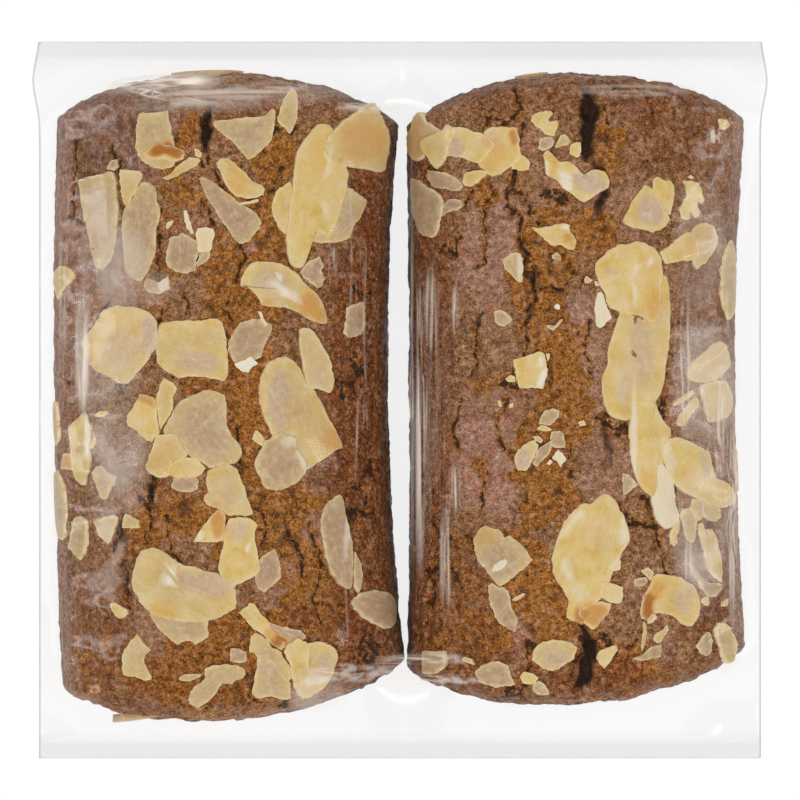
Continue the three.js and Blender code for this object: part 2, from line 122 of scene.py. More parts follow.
def addMesh(name, points, quads, triangles, attributes, material):
    # points in millimetres, faces as rows of corner numbers that run anticlockwise seen from outside
    mesh = bpy.data.meshes.new(name)
    corners = np.concatenate([quads.ravel(), triangles.ravel()]).astype(np.int32)
    starts = np.concatenate([4 * np.arange(len(quads)), 4 * len(quads) + 3 * np.arange(len(triangles))])
    mesh.vertices.add(len(points))
    mesh.vertices.foreach_set("co", (points * 0.001).astype(np.float32).ravel())
    mesh.loops.add(len(corners))
    mesh.loops.foreach_set("vertex_index", corners)
    mesh.polygons.add(len(starts))
    mesh.polygons.foreach_set("loop_start", starts.astype(np.int32))
    mesh.update(calc_edges=True)
    mesh.validate()
    mesh.shade_smooth()
    for key, values in attributes.items():
        values = np.asarray(values, np.float32)
        kind, field = ("FLOAT", "value") if values.ndim == 1 else ("FLOAT_VECTOR", "vector")
        mesh.attributes.new(key, kind, "POINT").data.foreach_set(field, values.ravel())
    mesh.materials.append(material)
    piece = bpy.data.objects.new(name, mesh)
    scene.collection.objects.link(piece)
    print(name, len(quads) * 2 + len(triangles), "triangles")
    return piece


def newMaterial(name):
    material = bpy.data.materials.new(name)
    material.use_nodes = True
    material.node_tree.nodes.clear()
    return material, material.node_tree


def addNode(tree, kind, settings=None):
    # settings: properties; inputs by number or name, as outputs to link, hex colours or plain values; or a
    # ramp's stops, each a position and a hex colour
    node = tree.nodes.new(kind)
    for key, value in (settings or {}).items():
        if isinstance(value, bpy.types.NodeSocket):
            tree.links.new(value, node.inputs[key])
        elif key == "stops":
            elements = node.color_ramp.elements
            while len(elements) < len(value):
                elements.new(0.5)
            for element, (position, colour) in zip(elements, value):
                element.position, element.color = position, linear(colour)
        elif isinstance(key, str) and hasattr(node, key):
            setattr(node, key, value)
        else:
            node.inputs[key].default_value = linear(value) if isinstance(value, str) else value
    return node


def addNodes(tree, kind, output, rows):
    # a node for each row of settings, and the wanted output of each, under the row's name
    return {key: addNode(tree, kind, settings).outputs[output] for key, settings in rows.items()}


def layColours(tree, colour, layers):
    # each layer goes over the colour in turn: its share, its colour, and its blend if that is not a plain mix
    for share, over, *blend in layers:
        colour = addNode(tree, "ShaderNodeMix", {
            "data_type": "RGBA", "blend_type": blend[0] if blend else "MIX", 0: share, 6: colour, 7: over,
        }).outputs[2]
    return colour


def closingFans(columns, first, last, poles):
    # triangles that close a wrapped grid's first and last row, given by their first corners, to a pole each
    i = np.arange(columns)
    k = (i + 1) % columns
    return np.concatenate([np.stack([poles[0] + 0 * i, first + i, first + k], -1),
                           np.stack([poles[1] + 0 * i, last + k, last + i], -1)])


def alongSegment(x, y, a, b):
    # how far from a to b the nearest place on the segment lies, from 0 to 1, and the way from it to (x, y)
    bx, by = b - a
    share = np.clip(((x - a[0]) * bx + (y - a[1]) * by) / (bx * bx + by * by), 0, 1)
    return share, x - a[0] - share * bx, y - a[1] - share * by


# What was traced from the enlarged photo is in steps, from the left and top of a square of 800 steps
# round the pack's middle
tracing = {"step": 0.18, "middle": 400}


def fromPairs(numbers):
    # x and y in turn, in steps, to points in millimetres from the pack's middle, y upwards
    return (np.array(numbers, float).reshape(-1, 2) - tracing["middle"]) * tracing["step"] * [1, -1]


def fromSteps(rows):
    # soft ellipses, in steps, to the same in millimetres
    step, middle = tracing["step"], tracing["middle"]
    return [[(x - middle) * step, (middle - y) * step, half * step, wide * step, degrees, strength]
            for x, y, half, wide, degrees, strength in rows]


# ---- the bars' surface
# Along a bar, t runs from -1 at its lower end to 1 at its upper end. Round a section, the angle starts at
# the +X waist and passes over the dome. Across is the distance from the bar's centre line.

logShape = {
    "waistHeight": 8.5, "domePower": 2.4, "footPower": 3.4, "footSpread": 1.3, "endDrop": 0.9,
    "rimDepth": 3.0,                                  # how far behind the end the rim's rounding starts
    "swellSize": (13, 6), "swellHeight": (0.9, 0.45), "swellStart": 14, "swellFull": 20,
    "angleStep": 0.01,                                # either side of an angle, for the direction there
}
leftBar = {
    "middleX": -32.2, "tilt": -0.55, "bow": 1.85, "width": 59.9, "flare": 1.6, "height": 27.2, "base": 0.16,
    "upperEnd": 58.7, "upperSkew": -0.6, "upperArch": 6.3, "lowerEnd": -57.4, "lowerSkew": 2.5, "lowerArch": 6,
}
rightBar = {
    "middleX": 30.95, "tilt": -0.1, "bow": 0.8, "width": 58.4, "flare": 2.5, "height": 26.8, "base": 0.16,
    "upperEnd": 58.7, "upperSkew": 0.45, "upperArch": 6.6, "lowerEnd": -54.6, "lowerSkew": 2, "lowerArch": 6.2,
}


def centreAt(bar, t):
    # x of the bar's centre line: a straight tilt and a parabolic bow
    return bar["middleX"] + bar["tilt"] * t + bar["bow"] * t ** 2


def halfWidthAt(bar, t):
    # half of the width, which flares with the square of t
    return (bar["width"] + bar["flare"] * t ** 2) / 2


def lengthwise(bar, t, u):
    # y of station t, u being across over the half width: the two arched, skewed ends blended
    upper = bar["upperEnd"] + bar["upperSkew"] * u - bar["upperArch"] * u ** 2
    lower = bar["lowerEnd"] + bar["lowerSkew"] * u + bar["lowerArch"] * u ** 2
    return lower + (upper - lower) * (1 + t) / 2


def stationOf(bar, y, u):
    # the station t whose lengthwise is y
    upper, lower = lengthwise(bar, 1, u), lengthwise(bar, -1, u)
    return np.clip((2 * y - upper - lower) / (upper - lower), -1, 1)


def sectionPoint(bar, t, angle):
    # superellipse: half width times cos, and height times sin, each to the power 2 over the rounding
    sine, waist = np.sin(angle), logShape["waistHeight"]
    rounding = np.where(sine >= 0, logShape["domePower"], logShape["footPower"])
    across = halfWidthAt(bar, t) * signedPower(np.cos(angle), 2 / rounding)
    rise = np.abs(sine) ** (2 / rounding)
    top = bar["height"] - logShape["endDrop"] * t ** 4
    dip = waist - (waist - bar["base"]) * logShape["footSpread"] * rise
    return across, np.where(sine >= 0, waist + (top - waist) * rise, np.maximum(bar["base"], dip))


def girthTable(bar, fromAngle, toAngle, steps=4000):
    # angles round the middle section, and the length of the curve up to each
    angles = np.linspace(fromAngle, toAngle, steps)
    across, z = sectionPoint(bar, 0, angles)
    return angles, np.concatenate([[0], np.cumsum(np.hypot(np.diff(across), np.diff(z)))]), z


def outwardAt(bar, t, angle):
    # outward direction of the section: the curve's own direction turned by a quarter
    step = logShape["angleStep"]
    back, forth = sectionPoint(bar, t, angle - step), sectionPoint(bar, t, angle + step)
    nx, nz = forth[1] - back[1], back[0] - forth[0]
    size = np.hypot(nx, nz)
    return nx / size, nz / size


def crustPoint(bar, angle, y, lift):
    # point of the smooth crust at angle and y, moved out along the section's normal
    across, z = sectionPoint(bar, 0, angle)
    t = stationOf(bar, y, across / halfWidthAt(bar, 0))
    across, z = sectionPoint(bar, t, angle)
    nx, nz = outwardAt(bar, t, angle)
    return np.stack([centreAt(bar, t) + across + lift * nx, y, z + lift * nz], -1)


def angleUnder(bar, x, y):
    # the angle of the dome's point over (x, y): the superellipse solved for the cosine
    t = stationOf(bar, y, 0)
    u = np.clip((x - centreAt(bar, t)) / halfWidthAt(bar, t), -0.998, 0.998)
    return np.arccos(signedPower(u, logShape["domePower"] / 2))


def swellAt(x, y, z):
    # low swells of two sizes, 0 on average, that fade down the flanks
    total = 0
    for i, size in enumerate(logShape["swellSize"]):
        total = total + logShape["swellHeight"][i] * (flatNoise(x / size + 17 * i, y / size + 31 * i) - 0.5)
    return total * smoothStep(logShape["swellStart"], logShape["swellFull"], z)


# ---- baked spiced dough: grainy crust with a low sheen and paler skin plates, brown crumb where it broke open,
# baked spiced dough: grainy crust with a low sheen and paler skin plates, brown crumb where it broke open,
# and fine specks of sugar and ground almond; painted glints on the grain and the sugar, and painted shade
# in the cracks and pits

def makeCrustMaterial():
    material, tree = newMaterial("bakedSpicedDough")
    place = addNode(tree, "ShaderNodeTexCoord").outputs["Object"]
    masks = addNodes(tree, "ShaderNodeAttribute", "Fac", {
        key: {"attribute_name": key} for key in ("crumb", "shade", "glaze", "crack", "umber")})

    # clouds of 6 mm, grain of 1 mm and of 0.3 mm, crumbs of 0.7 mm with a tone of their own, specks of sugar
    # that are partly painted glints, and nibs of ground almond, 0.8 mm wide
    cloud, grain, fine = addNodes(tree, "ShaderNodeTexNoise", "Fac", {
        "cloud": {"Vector": place, "Scale": 170, "Detail": 3, "Roughness": 0.6},
        "grain": {"Vector": place, "Scale": 1000, "Detail": 3, "Roughness": 0.7},
        "fine": {"Vector": place, "Scale": 3300, "Detail": 2, "Roughness": 0.6},
    }).values()
    crumbs, specks, nibs = [
        addNode(tree, "ShaderNodeTexVoronoi", {"Vector": place, "Scale": scale, "feature": "F1"})
        for scale in (1500, 560, 760)]
    crumbTone = addNode(tree, "ShaderNodeSeparateColor", {"Color": crumbs.outputs["Color"]}).outputs["Red"]
    nibTone = addNode(tree, "ShaderNodeSeparateColor", {"Color": nibs.outputs["Color"]}).outputs["Green"]

    # the masks and the nibs are broken up by the grain, so that their borders are as ragged as the dough
    rough, ragged, nibEdge = addNodes(tree, "ShaderNodeMath", 0, {
        "rough": {"operation": "MULTIPLY_ADD", 0: grain, 1: 1.1, 2: masks["crumb"]},
        "ragged": {"operation": "MULTIPLY_ADD", 0: grain, 1: 1.3, 2: masks["crack"]},
        "nibEdge": {"operation": "MULTIPLY_ADD", 0: fine, 1: 1.2, 2: nibs.outputs["Distance"]},
    }).values()
    # each share is 0 at its first limit and the most at its second
    shares = addNodes(tree, "ShaderNodeMapRange", 0, {
        key: {"Value": value, "From Min": start, "From Max": full, "To Max": most}
        for key, value, start, full, most in (
            # the share that darkens the skin's fine cracks and gaps is painted shade
            ("torn", rough, 0.84, 1.08, 1), ("line", ragged, 0.94, 0.78, 0.9),
            ("lineEdge", ragged, 1.5, 1.05, 0.75), ("dark", crumbTone, 0.35, 0, 0.6),
            ("light", crumbTone, 0.6, 1, 0.5), ("glint", fine, 0.58, 0.74, 0.6),
            ("sugarGlint", specks.outputs["Distance"], 0.1, 0.05, 0.5), ("chosen", nibTone, 0.76, 0.84, 0.5),
            ("nib", nibEdge, 0.98, 0.82, 1),
        )})
    tones = addNodes(tree, "ShaderNodeValToRGB", "Color", {
        "skin": {"Fac": grain, "stops": [
            (0.34, "#96684e"), (0.46, "#b48a72"), (0.55, "#c09884"), (0.66, "#e2bbaa")]},
        "tan": {"Fac": grain, "stops": [
            (0.34, "#6e421a"), (0.45, "#9a6c3c"), (0.55, "#ac7e50"), (0.66, "#d2aa84")]},
        "gold": {"Fac": grain, "stops": [
            (0.34, "#6e3804"), (0.44, "#a86810"), (0.54, "#ba7c20"), (0.62, "#cc9048"), (0.7, "#e0ae88")]},
        "amber": {"Fac": grain, "stops": [
            (0.34, "#542400"), (0.46, "#864402"), (0.56, "#985206"), (0.68, "#b47030")]},
        "brown": {"Fac": cloud, "stops": [(0.36, "#b89078"), (0.5, "#bcbcbc"), (0.66, "#d2b8b4")]},
        "fine": {"Fac": fine, "stops": [
            (0.32, "#54463c"), (0.44, "#a89c92"), (0.52, "#bdb9b7"), (0.6, "#c8c0be"), (0.72, "#e0d6d4")]},
    })
    # crumbs, fine grain and nibs show most on tan skin and torn crumb
    loose = addNode(tree, "ShaderNodeMath", {
        "operation": "MAXIMUM", 0: shares["torn"], 1: masks["umber"]}).outputs[0]
    loose = addNode(tree, "ShaderNodeMath", {"operation": "MULTIPLY_ADD", 0: loose, 1: 0.65, 2: 0.2}).outputs[0]
    grained = addNode(tree, "ShaderNodeMath", {
        "operation": "MULTIPLY_ADD", 0: loose, 1: 0.45, 2: 0.5}).outputs[0]
    nib = addNode(tree, "ShaderNodeMath", {
        "operation": "MULTIPLY", 0: shares["chosen"], 1: shares["nib"]}).outputs[0]
    dark, light, nib = [
        addNode(tree, "ShaderNodeMath", {"operation": "MULTIPLY", 0: share, 1: loose}).outputs[0]
        for share in (shares["dark"], shares["light"], nib)]
    # layers over the skin: the crust's own tones; painted highlights, which are the glints on the fine grain and
    # the specks of sugar, partly painted glints; and last the painted shade of the fine cracks and of the shade
    # mask
    colour = layColours(tree, tones["skin"], [
        (0.6, tones["brown"], "OVERLAY"), (masks["umber"], tones["tan"]), (shares["torn"], tones["gold"]),
        (shares["lineEdge"], tones["gold"]), (masks["glaze"], tones["amber"]), (dark, "#602e06"),
        (light, "#cc9c74"), (grained, tones["fine"], "OVERLAY"), (shares["glint"], "#dfb593"),
        (shares["sugarGlint"], "#e4cdbf"), (nib, "#d6b29a"), (shares["line"], "#331c0b"), (masks["shade"], "#241209"),
    ])

    heap = addNode(tree, "ShaderNodeMath", {
        "operation": "MULTIPLY_ADD", 0: crumbs.outputs["Distance"], 1: -0.3, 2: grain}).outputs[0]
    heap = addNode(tree, "ShaderNodeMath", {"operation": "MULTIPLY_ADD", 0: fine, 1: 0.45, 2: heap}).outputs[0]
    bump = addNode(tree, "ShaderNodeBump", {
        "Strength": 1.0, "Distance": 0.0008, "Height": heap}).outputs["Normal"]
    shader = addNode(tree, "ShaderNodeBsdfPrincipled", {
        "Base Color": colour, "Normal": bump, "Roughness": 0.42, "IOR": 1.45, "Specular IOR Level": 0.35})
    addNode(tree, "ShaderNodeOutputMaterial", {"Surface": shader.outputs[0]})
    return material


crustValues = {
    "around": 300, "along": 274, "capRings": 26,      # columns round the log, rows along it and on each end
    "spacing": (1, 0.7, 0.13), "footEdge": 0.01,      # closeness of columns on the dome, the flanks and the base
    "flank": (19, 11), "face": (0.995, 0.93),         # limits between which a mask goes from 0 to 1
    "crumbEdge": (0.12, 0.75), "gapWidth": (0.6, 0.1), "lumpEdge": (0.62, 0.2), "crackRise": (12, 18),
    "baseFade": (3.5, 0.4),                           # heights over the base where the relief dies away
    "bareStrength": 0.9, "bareSize": 7, "bareAbove": 0.62, "faceCrumb": 0.55,  # torn skin outside the patches
    "plateSize": 8.0, "plateStretch": (1, 0.6, 1),    # size of the skin's plates, and cells to it each way
    "plateCrack": 0.6, "gapsSize": 8, "gapsFrom": (0.42, 0.66),  # depth of the gaps, and where there are any
    "lumpSize": 2.6, "lumpHeight": 0.6, "proud": 0.3,  # size and height of crumbs, how far they may stand out,
    "leftLumps": 0.5, "rightLumps": 0.2,              # and how much of them each bar's skin has
    "tornDepth": 0.35, "streakHeight": 0.32,          # depth where the skin is gone, and of the flanks' streaks
    # ripples: height and size of the noise that moves borders about, then of the noise in the surface itself
    "bend": (9, 6), "fineBend": (4, 1.9), "crumbRagged": (0.35, 1.6), "plateWarp": (2.4, 2.6),
    "lineWander": (1.1, 1.4), "lumpWarp": (1.2, 1.3), "crackWander": (1.7, 1.3),
    "grain": (0.2, 0.95), "dust": (0.22, 0.6), "pocks": (0.8, 2.2),
    "chasmShade": 0.92, "pitShade": 0.55, "facingShade": 0.6, "darkest": 0.95,
}
# Where the skin broke open and brown crumb shows: [x, y, half length, half width, degrees, strength]
leftCrumb = [
    [-27, 21, 12, 8, 60, 1], [-30, 1, 9, 16, 10, 0.9], [-26, -20, 10, 12, 0, 0.8], [-33, 33, 9, 14, 20, 0.5],
    [-20, 45, 8, 5, 0, 0.6], [-38, -49, 20, 7, 0, 0.8], [-38, 47, 3, 6, 0, 1], [-53, -46, 7, 8, 0, 0.9],
    [-31, -41, 8, 6, 0, 0.9], [-38, -20, 7, 6, 0, 1], [-24, -48, 10, 6, 0, 0.9], [-45, 22, 5, 6, 0, 0.5],
    [-15, -38, 12, 10, 0, 0.7], [-44, -24, 8, 7, 30, 0.5],
]
rightCrumb = [
    [27, 22, 6, 13, -5, 1], [28, -1, 5, 12, 0, 0.9], [27, -14, 6, 9, 0, 1], [24, -34, 8, 12, 20, 0.9],
    [10, -44, 9, 8, 0, 0.8], [12, 37, 9, 6, 0, 0.5], [40, 44, 9, 5, 0, 0.5], [44, -48, 10, 5, 0, 0.6],
    [35, 30, 4, 8, 0, 0.6], [12, 0, 3, 22, 0, 0.4],
]
# Where the crust is smooth, glossy and brown, a brown that is partly painted shade, and where its skin is mauve
# and not tan, in the same terms
leftGlazeAndShade = [
    [-6.5, -4, 7.5, 60, 0, 1.1], [-54, -42, 6, 15, 0, 0.7], [-47, -52, 12, 6, 0, 0.6], [-59, 0, 3, 50, 0, 0.4],
    [-14, -45, 10, 9, 0, 0.7], [-28, 54, 26, 4, 0, 0.4], [-40, -50, 22, 5, 0, 0.5],
]
rightGlazeAndShade = [
    [49.5, 48, 9, 9, 0, 0.9], [27, -50, 28, 6, 0, 0.8], [5.5, 0, 4.5, 56, 0, 0.9], [56, 30, 6, 22, 0, 0.7],
    [54, -30, 6, 22, 0, 0.7], [30, 55, 24, 4, 0, 0.6], [12, -36, 8, 14, 0, 0.6],
]
leftMauve = [
    [-54, 49, 8, 9, 0, 0.8], [-29, 29, 5, 7, 0, 0.8], [-19, -25, 8, 13, 0, 0.9], [-46, -22, 5, 7, 0, 0.9],
    [-58, 25, 4, 18, 0, 0.6], [-44, 44, 8, 6, 0, 0.4],
]
rightMauve = [
    [16, 27, 6.5, 14, 0, 1], [15, -8, 7, 13, 0, 1], [34, 8, 4.5, 10, 0, 0.9], [38, -12, 5, 8, 0, 0.7],
    [20, -40, 6, 6, 0, 0.6], [25, 46, 6, 5, 0, 0.5],
]
darkCorner = [[-53, 49, 12, 10, 0, 0.28]]             # the far left corner is a little darker
# Fine cracks of the skin, traced like the flakes below
leftLines = [
    [126, 514, 120, 528, 114, 542, 113, 554], [124, 560, 128, 576, 128, 592, 129, 610],
    [168, 514, 170, 540, 172, 552, 180, 560], [156, 486, 152, 498, 148, 508], [112, 262, 108, 300, 104, 312],
    [120, 160, 119, 172, 121, 190], [147, 500, 152, 520, 145, 540], [237, 430, 242, 450, 239, 475],
    [310, 525, 322, 565, 315, 600, 324, 625], [285, 515, 290, 530, 300, 550, 302, 575],
    [110, 145, 117, 160, 120, 167], [161, 210, 157, 225, 161, 250, 157, 275, 162, 295],
    [245, 225, 240, 240, 247, 260, 237, 280], [232, 290, 227, 310, 235, 320],
    [206, 146, 210, 164, 220, 184, 230, 202], [270, 195, 280, 175, 285, 167], [184, 296, 190, 306, 186, 316],
    [250, 505, 262, 512, 268, 530, 262, 545],
]
rightLines = [
    [506, 180, 504, 208, 512, 214, 520, 220, 518, 236, 524, 254, 531, 270, 534, 292],
    [476, 188, 466, 202, 464, 212], [490, 186, 492, 198, 482, 208, 481, 224, 484, 238, 483, 262, 476, 266],
    [460, 234, 454, 244, 452, 256], [484, 314, 476, 326, 478, 342, 476, 360, 470, 380],
    [520, 326, 528, 340, 524, 352, 530, 372], [532, 188, 524, 200, 530, 216, 536, 226],
    [588, 322, 584, 348, 590, 372], [534, 292, 545, 288, 560, 290, 568, 284, 570, 270],
    [487, 470, 485, 492, 478, 510], [536, 296, 528, 312, 523, 330], [460, 400, 452, 430, 458, 452],
    [505, 400, 498, 424, 503, 450],
]
# Cracks, as in the part's source: width, depth, and the points each one runs through
leftCracks = [
    (2.4, 3, [(-34.2, 53.4), (-34.6, 49.5), (-34.9, 44.8)]), (1.5, 1.6, [(-45.5, -13.9), (-43.9, -19.8)]),
    (1.6, 1.6, [(-51.7, -20.3), (-50.1, -24), (-49.3, -27.5)]),
    (1.5, 1.4, [(-50, -29), (-49.4, -33), (-48.6, -36.5)]),
]
rightCracks = [
    (3.4, 3.4, [(33.7, 56.6), (34.2, 50.4), (33.3, 43.3)]),
    (1.7, 2, [(34.4, 43.5), (37.6, 38.7), (36, 36), (34.6, 31.5)]),
    (1.5, 1.6, [(21.6, 29.7), (22.3, 24.3), (24.3, 18.9)]),
    (1.3, 1.4, [(36, -2.7), (37.1, -7.2), (37.1, -12.6)]),
    (3, 3.2, [(32.9, -40.5), (34.2, -45), (32.9, -49.5), (32, -52)]),
]


def patchMask(x, y, patches):
    # strongest of soft ellipses, each 1 inside and 0 outside
    total = np.zeros_like(x)
    for px, py, half, wide, degrees, strength in patches:
        turn = np.radians(degrees)
        a = ((x - px) * np.cos(turn) + (y - py) * np.sin(turn)) / half
        b = ((y - py) * np.cos(turn) - (x - px) * np.sin(turn)) / wide
        total = np.maximum(total, strength * smoothStep(1.25, 0.6, np.hypot(a, b)))
    return total


def crackDepth(x, y, cracks):
    # distance to each crack's line, set against its half width, times its depth; thin at both ends
    total = np.zeros_like(x)
    for width, depth, path in cracks:
        for k in range(len(path) - 1):
            a, b = np.array(path[k]), np.array(path[k + 1])
            share, dx, dy = alongSegment(x, y, a, b)
            fullness = 0.5 + 0.5 * np.sin(np.pi * np.clip((k + share) / (len(path) - 1), 0.02, 0.98))
            away = np.hypot(dx, dy) / (width * fullness / 2)
            total = np.maximum(total, depth * fullness * smoothStep(1.15, 0.25, away))
    return total


def lineDistance(x, y, lines):
    # millimetres to the nearest of the traced lines
    nearest = np.full_like(x, 9.0)
    for corners in lines:
        path = fromPairs(corners)
        for a, b in zip(path[:-1], path[1:]):
            nearest = np.minimum(nearest, np.hypot(*alongSegment(x, y, a, b)[1:]))
    return nearest


def makeCrust(name, bar, patches, glazedAndShaded, mauve, cracks, lines, lumpShare, material):
    # the log's surface on a grid of angle and station, closed at both ends, with relief along its normals
    v = crustValues
    angles, length, z = girthTable(bar, 0, 2 * np.pi)
    onDome, onFlank, onBase = v["spacing"]
    weight = np.where(z > bar["base"] + v["footEdge"], onFlank, onBase)
    weight = np.where(z > logShape["waistHeight"], onDome, weight)
    spaced = np.concatenate([[0], np.cumsum(np.diff(length) * weight[1:])])
    angle = np.interp(np.arange(v["around"]) / v["around"] * spaced[-1], spaced, angles)
    halfLength = (bar["upperEnd"] - bar["lowerEnd"]) / 2
    capShare = np.sin(np.linspace(0, 1, v["capRings"] + 1)[1:] * np.pi / 2)
    inset = logShape["rimDepth"] * (1 - np.sqrt(np.maximum(0, 1 - capShare ** 4))) / halfLength
    body = np.linspace(-1 + inset[-1], 1 - inset[-1], v["along"] + 2)[1:-1]
    share = np.concatenate([capShare, np.ones(v["along"]), capShare[::-1]])[:, None]
    t = np.concatenate([-1 + inset, body, 1 - inset[::-1]])[:, None]

    across, height = sectionPoint(bar, t, angle[None])
    across, height = across * share, logShape["waistHeight"] + (height - logShape["waistHeight"]) * share
    p = np.stack([centreAt(bar, t) + across, lengthwise(bar, t, across / halfWidthAt(bar, t)), height], -1)
    alongStep = np.gradient(p, axis=0)
    aroundStep = np.roll(p, -1, 1) - np.roll(p, 1, 1)
    normal = np.cross(alongStep, aroundStep)
    normal /= np.linalg.norm(normal, axis=-1, keepdims=True) + 1e-9

    x, y, h = np.moveaxis(p, -1, 0)
    side = smoothStep(*v["flank"], h)                 # 1 on the flanks
    face = smoothStep(*v["face"], share) + 0 * x      # 1 on the end faces
    bend = [ripple(p, *v["bend"], seed) + ripple(p, *v["fineBend"], seed + 1) for seed in (3, 5)]
    crumb = patchMask(x + bend[0], y + bend[1], patches)
    bare = v["bareStrength"] * (noise(p, v["bareSize"], 9) - v["bareAbove"])
    crumb = np.clip(crumb * (1 - side) + v["faceCrumb"] * face + bare, 0, 1)
    crumb = smoothStep(*v["crumbEdge"], crumb + ripple(p, *v["crumbRagged"], 4))

    # plates, longer along the bar, whose gaps come and go; then the traced cracks, with a little wander
    warped = p + np.stack([ripple(p, *v["plateWarp"], seed) for seed in (21, 22, 23)], -1)
    near, second, _ = cells(warped * v["plateStretch"], v["plateSize"], 2)
    present = smoothStep(*v["gapsFrom"], noise(p, v["gapsSize"], 12)) * (1 - 0.8 * side) * (1 - 0.5 * crumb)
    wander = [ripple(p, *v["lineWander"], seed) for seed in (41, 42)]
    gap = (second - near) * v["plateSize"] / 2 + 2.5 * (1 - present) + 3 * smoothStep(0.36, 0.24, near)
    crack = np.minimum(gap, lineDistance(x + wander[0], y + wander[1], lines) + 3 * side)
    split = smoothStep(*v["gapWidth"], crack)
    lumpNear, _, lumpOwn = cells(p + ripple(p, *v["lumpWarp"], 31)[..., None], v["lumpSize"], 4)
    lump = smoothStep(*v["lumpEdge"], lumpNear) * (0.4 + 0.6 * lumpOwn)
    lumpy = lumpShare * smoothStep(0.35, 0.65, noise(p, 11, 14) + 0.25 * crumb) * (1 - side)
    # streaks run along the bar, 11 mm long and 0.8 mm apart
    streak = noise(np.stack([h * 1.1 + 0.2 * x, y / 11, 0 * y], -1), (0.9, 1, 1), 6)

    swelled = swellAt(x, y, h)
    relief = swelled - v["plateCrack"] * split - v["tornDepth"] * crumb
    relief = relief + v["lumpHeight"] * (lump - 0.45) * np.maximum(lumpy, 0.6 * crumb)
    relief = relief + ripple(p, *v["grain"], 15) * (1 + 1.5 * crumb + face)
    relief = relief + ripple(p, *v["dust"], 16) + ripple(p, *v["pocks"], 17) * (1 - 0.5 * side + face)
    relief = relief + v["streakHeight"] * (streak - 0.5) * side * (1 - face)
    relief = np.where(side < 0.9, np.minimum(relief, swelled + v["proud"]), relief)
    chasm = crackDepth(x + ripple(p, *v["crackWander"], 33), y, cracks) * smoothStep(*v["crackRise"], h)
    fadeStart, fadeEnd = v["baseFade"]
    relief = (relief - chasm) * (1 - smoothStep(bar["base"] + fadeStart, bar["base"] + fadeEnd, h))
    p = p + normal * relief[..., None]
    p[..., 2] = np.maximum(p[..., 2], bar["base"])

    pit = smoothStep(0.33, 0.2, noise(p, 1.1, 18)) * (0.3 + 0.7 * np.maximum(crumb, lumpy)) * (1 - side)
    # painted shade, dark in the wide cracks and pits and low down on the side that faces the other bar;
    # the far left corner is a little darker as well
    facing = smoothStep(6, 20, (x - bar["middleX"]) * -np.sign(bar["middleX"]))
    dark = patchMask(x, y, darkCorner) + v["chasmShade"] * smoothStep(0.3, 2.0, chasm) + v["pitShade"] * pit
    dark = dark + v["facingShade"] * facing * smoothStep(18, 11, h)
    golden = crumb * (1 - 0.3 * lump * lumpy) + 0.3 * lumpy * (1 - lump) + ripple(p, 0.35, 2.4, 19)
    # the glaze is a smooth brown crust on the flanks and the listed patches, and partly painted shade there
    glaze = side * (0.4 + 0.9 * (streak - 0.5)) + patchMask(x, y, glazedAndShaded) * (0.85 + 0.6 * (streak - 0.5))
    glaze = np.clip(glaze, 0, 0.95) * smoothStep(0.28, 0.42, noise(p, 2.0, 20) + 0.15 * facing)
    umber = 0.95 - 1.1 * patchMask(x + 0.6 * bend[0], y + 0.6 * bend[1], mauve)
    umber = np.clip(umber + ripple(p, 1.2, 5.5, 51) + ripple(p, 0.7, 1.8, 52), 0, 1)

    rows, columns = x.shape
    poles = np.array([[centreAt(bar, -1), bar["lowerEnd"], logShape["waistHeight"]],
                      [centreAt(bar, 1), bar["upperEnd"], logShape["waistHeight"]]])
    points = np.concatenate([p.reshape(-1, 3), poles])
    fans = closingFans(columns, 0, (rows - 1) * columns, (rows * columns, rows * columns + 1))
    masks = {
        "crumb": np.clip(golden, 0, 1), "shade": np.clip(dark, 0, v["darkest"]), "glaze": glaze,
        "crack": np.minimum(crack, 3), "umber": umber,
    }
    masks = {key: np.concatenate([value.ravel(), [0.5, 0.5]]) for key, value in masks.items()}
    return addMesh(name, points, gridQuads(rows, columns), fans, masks, material)
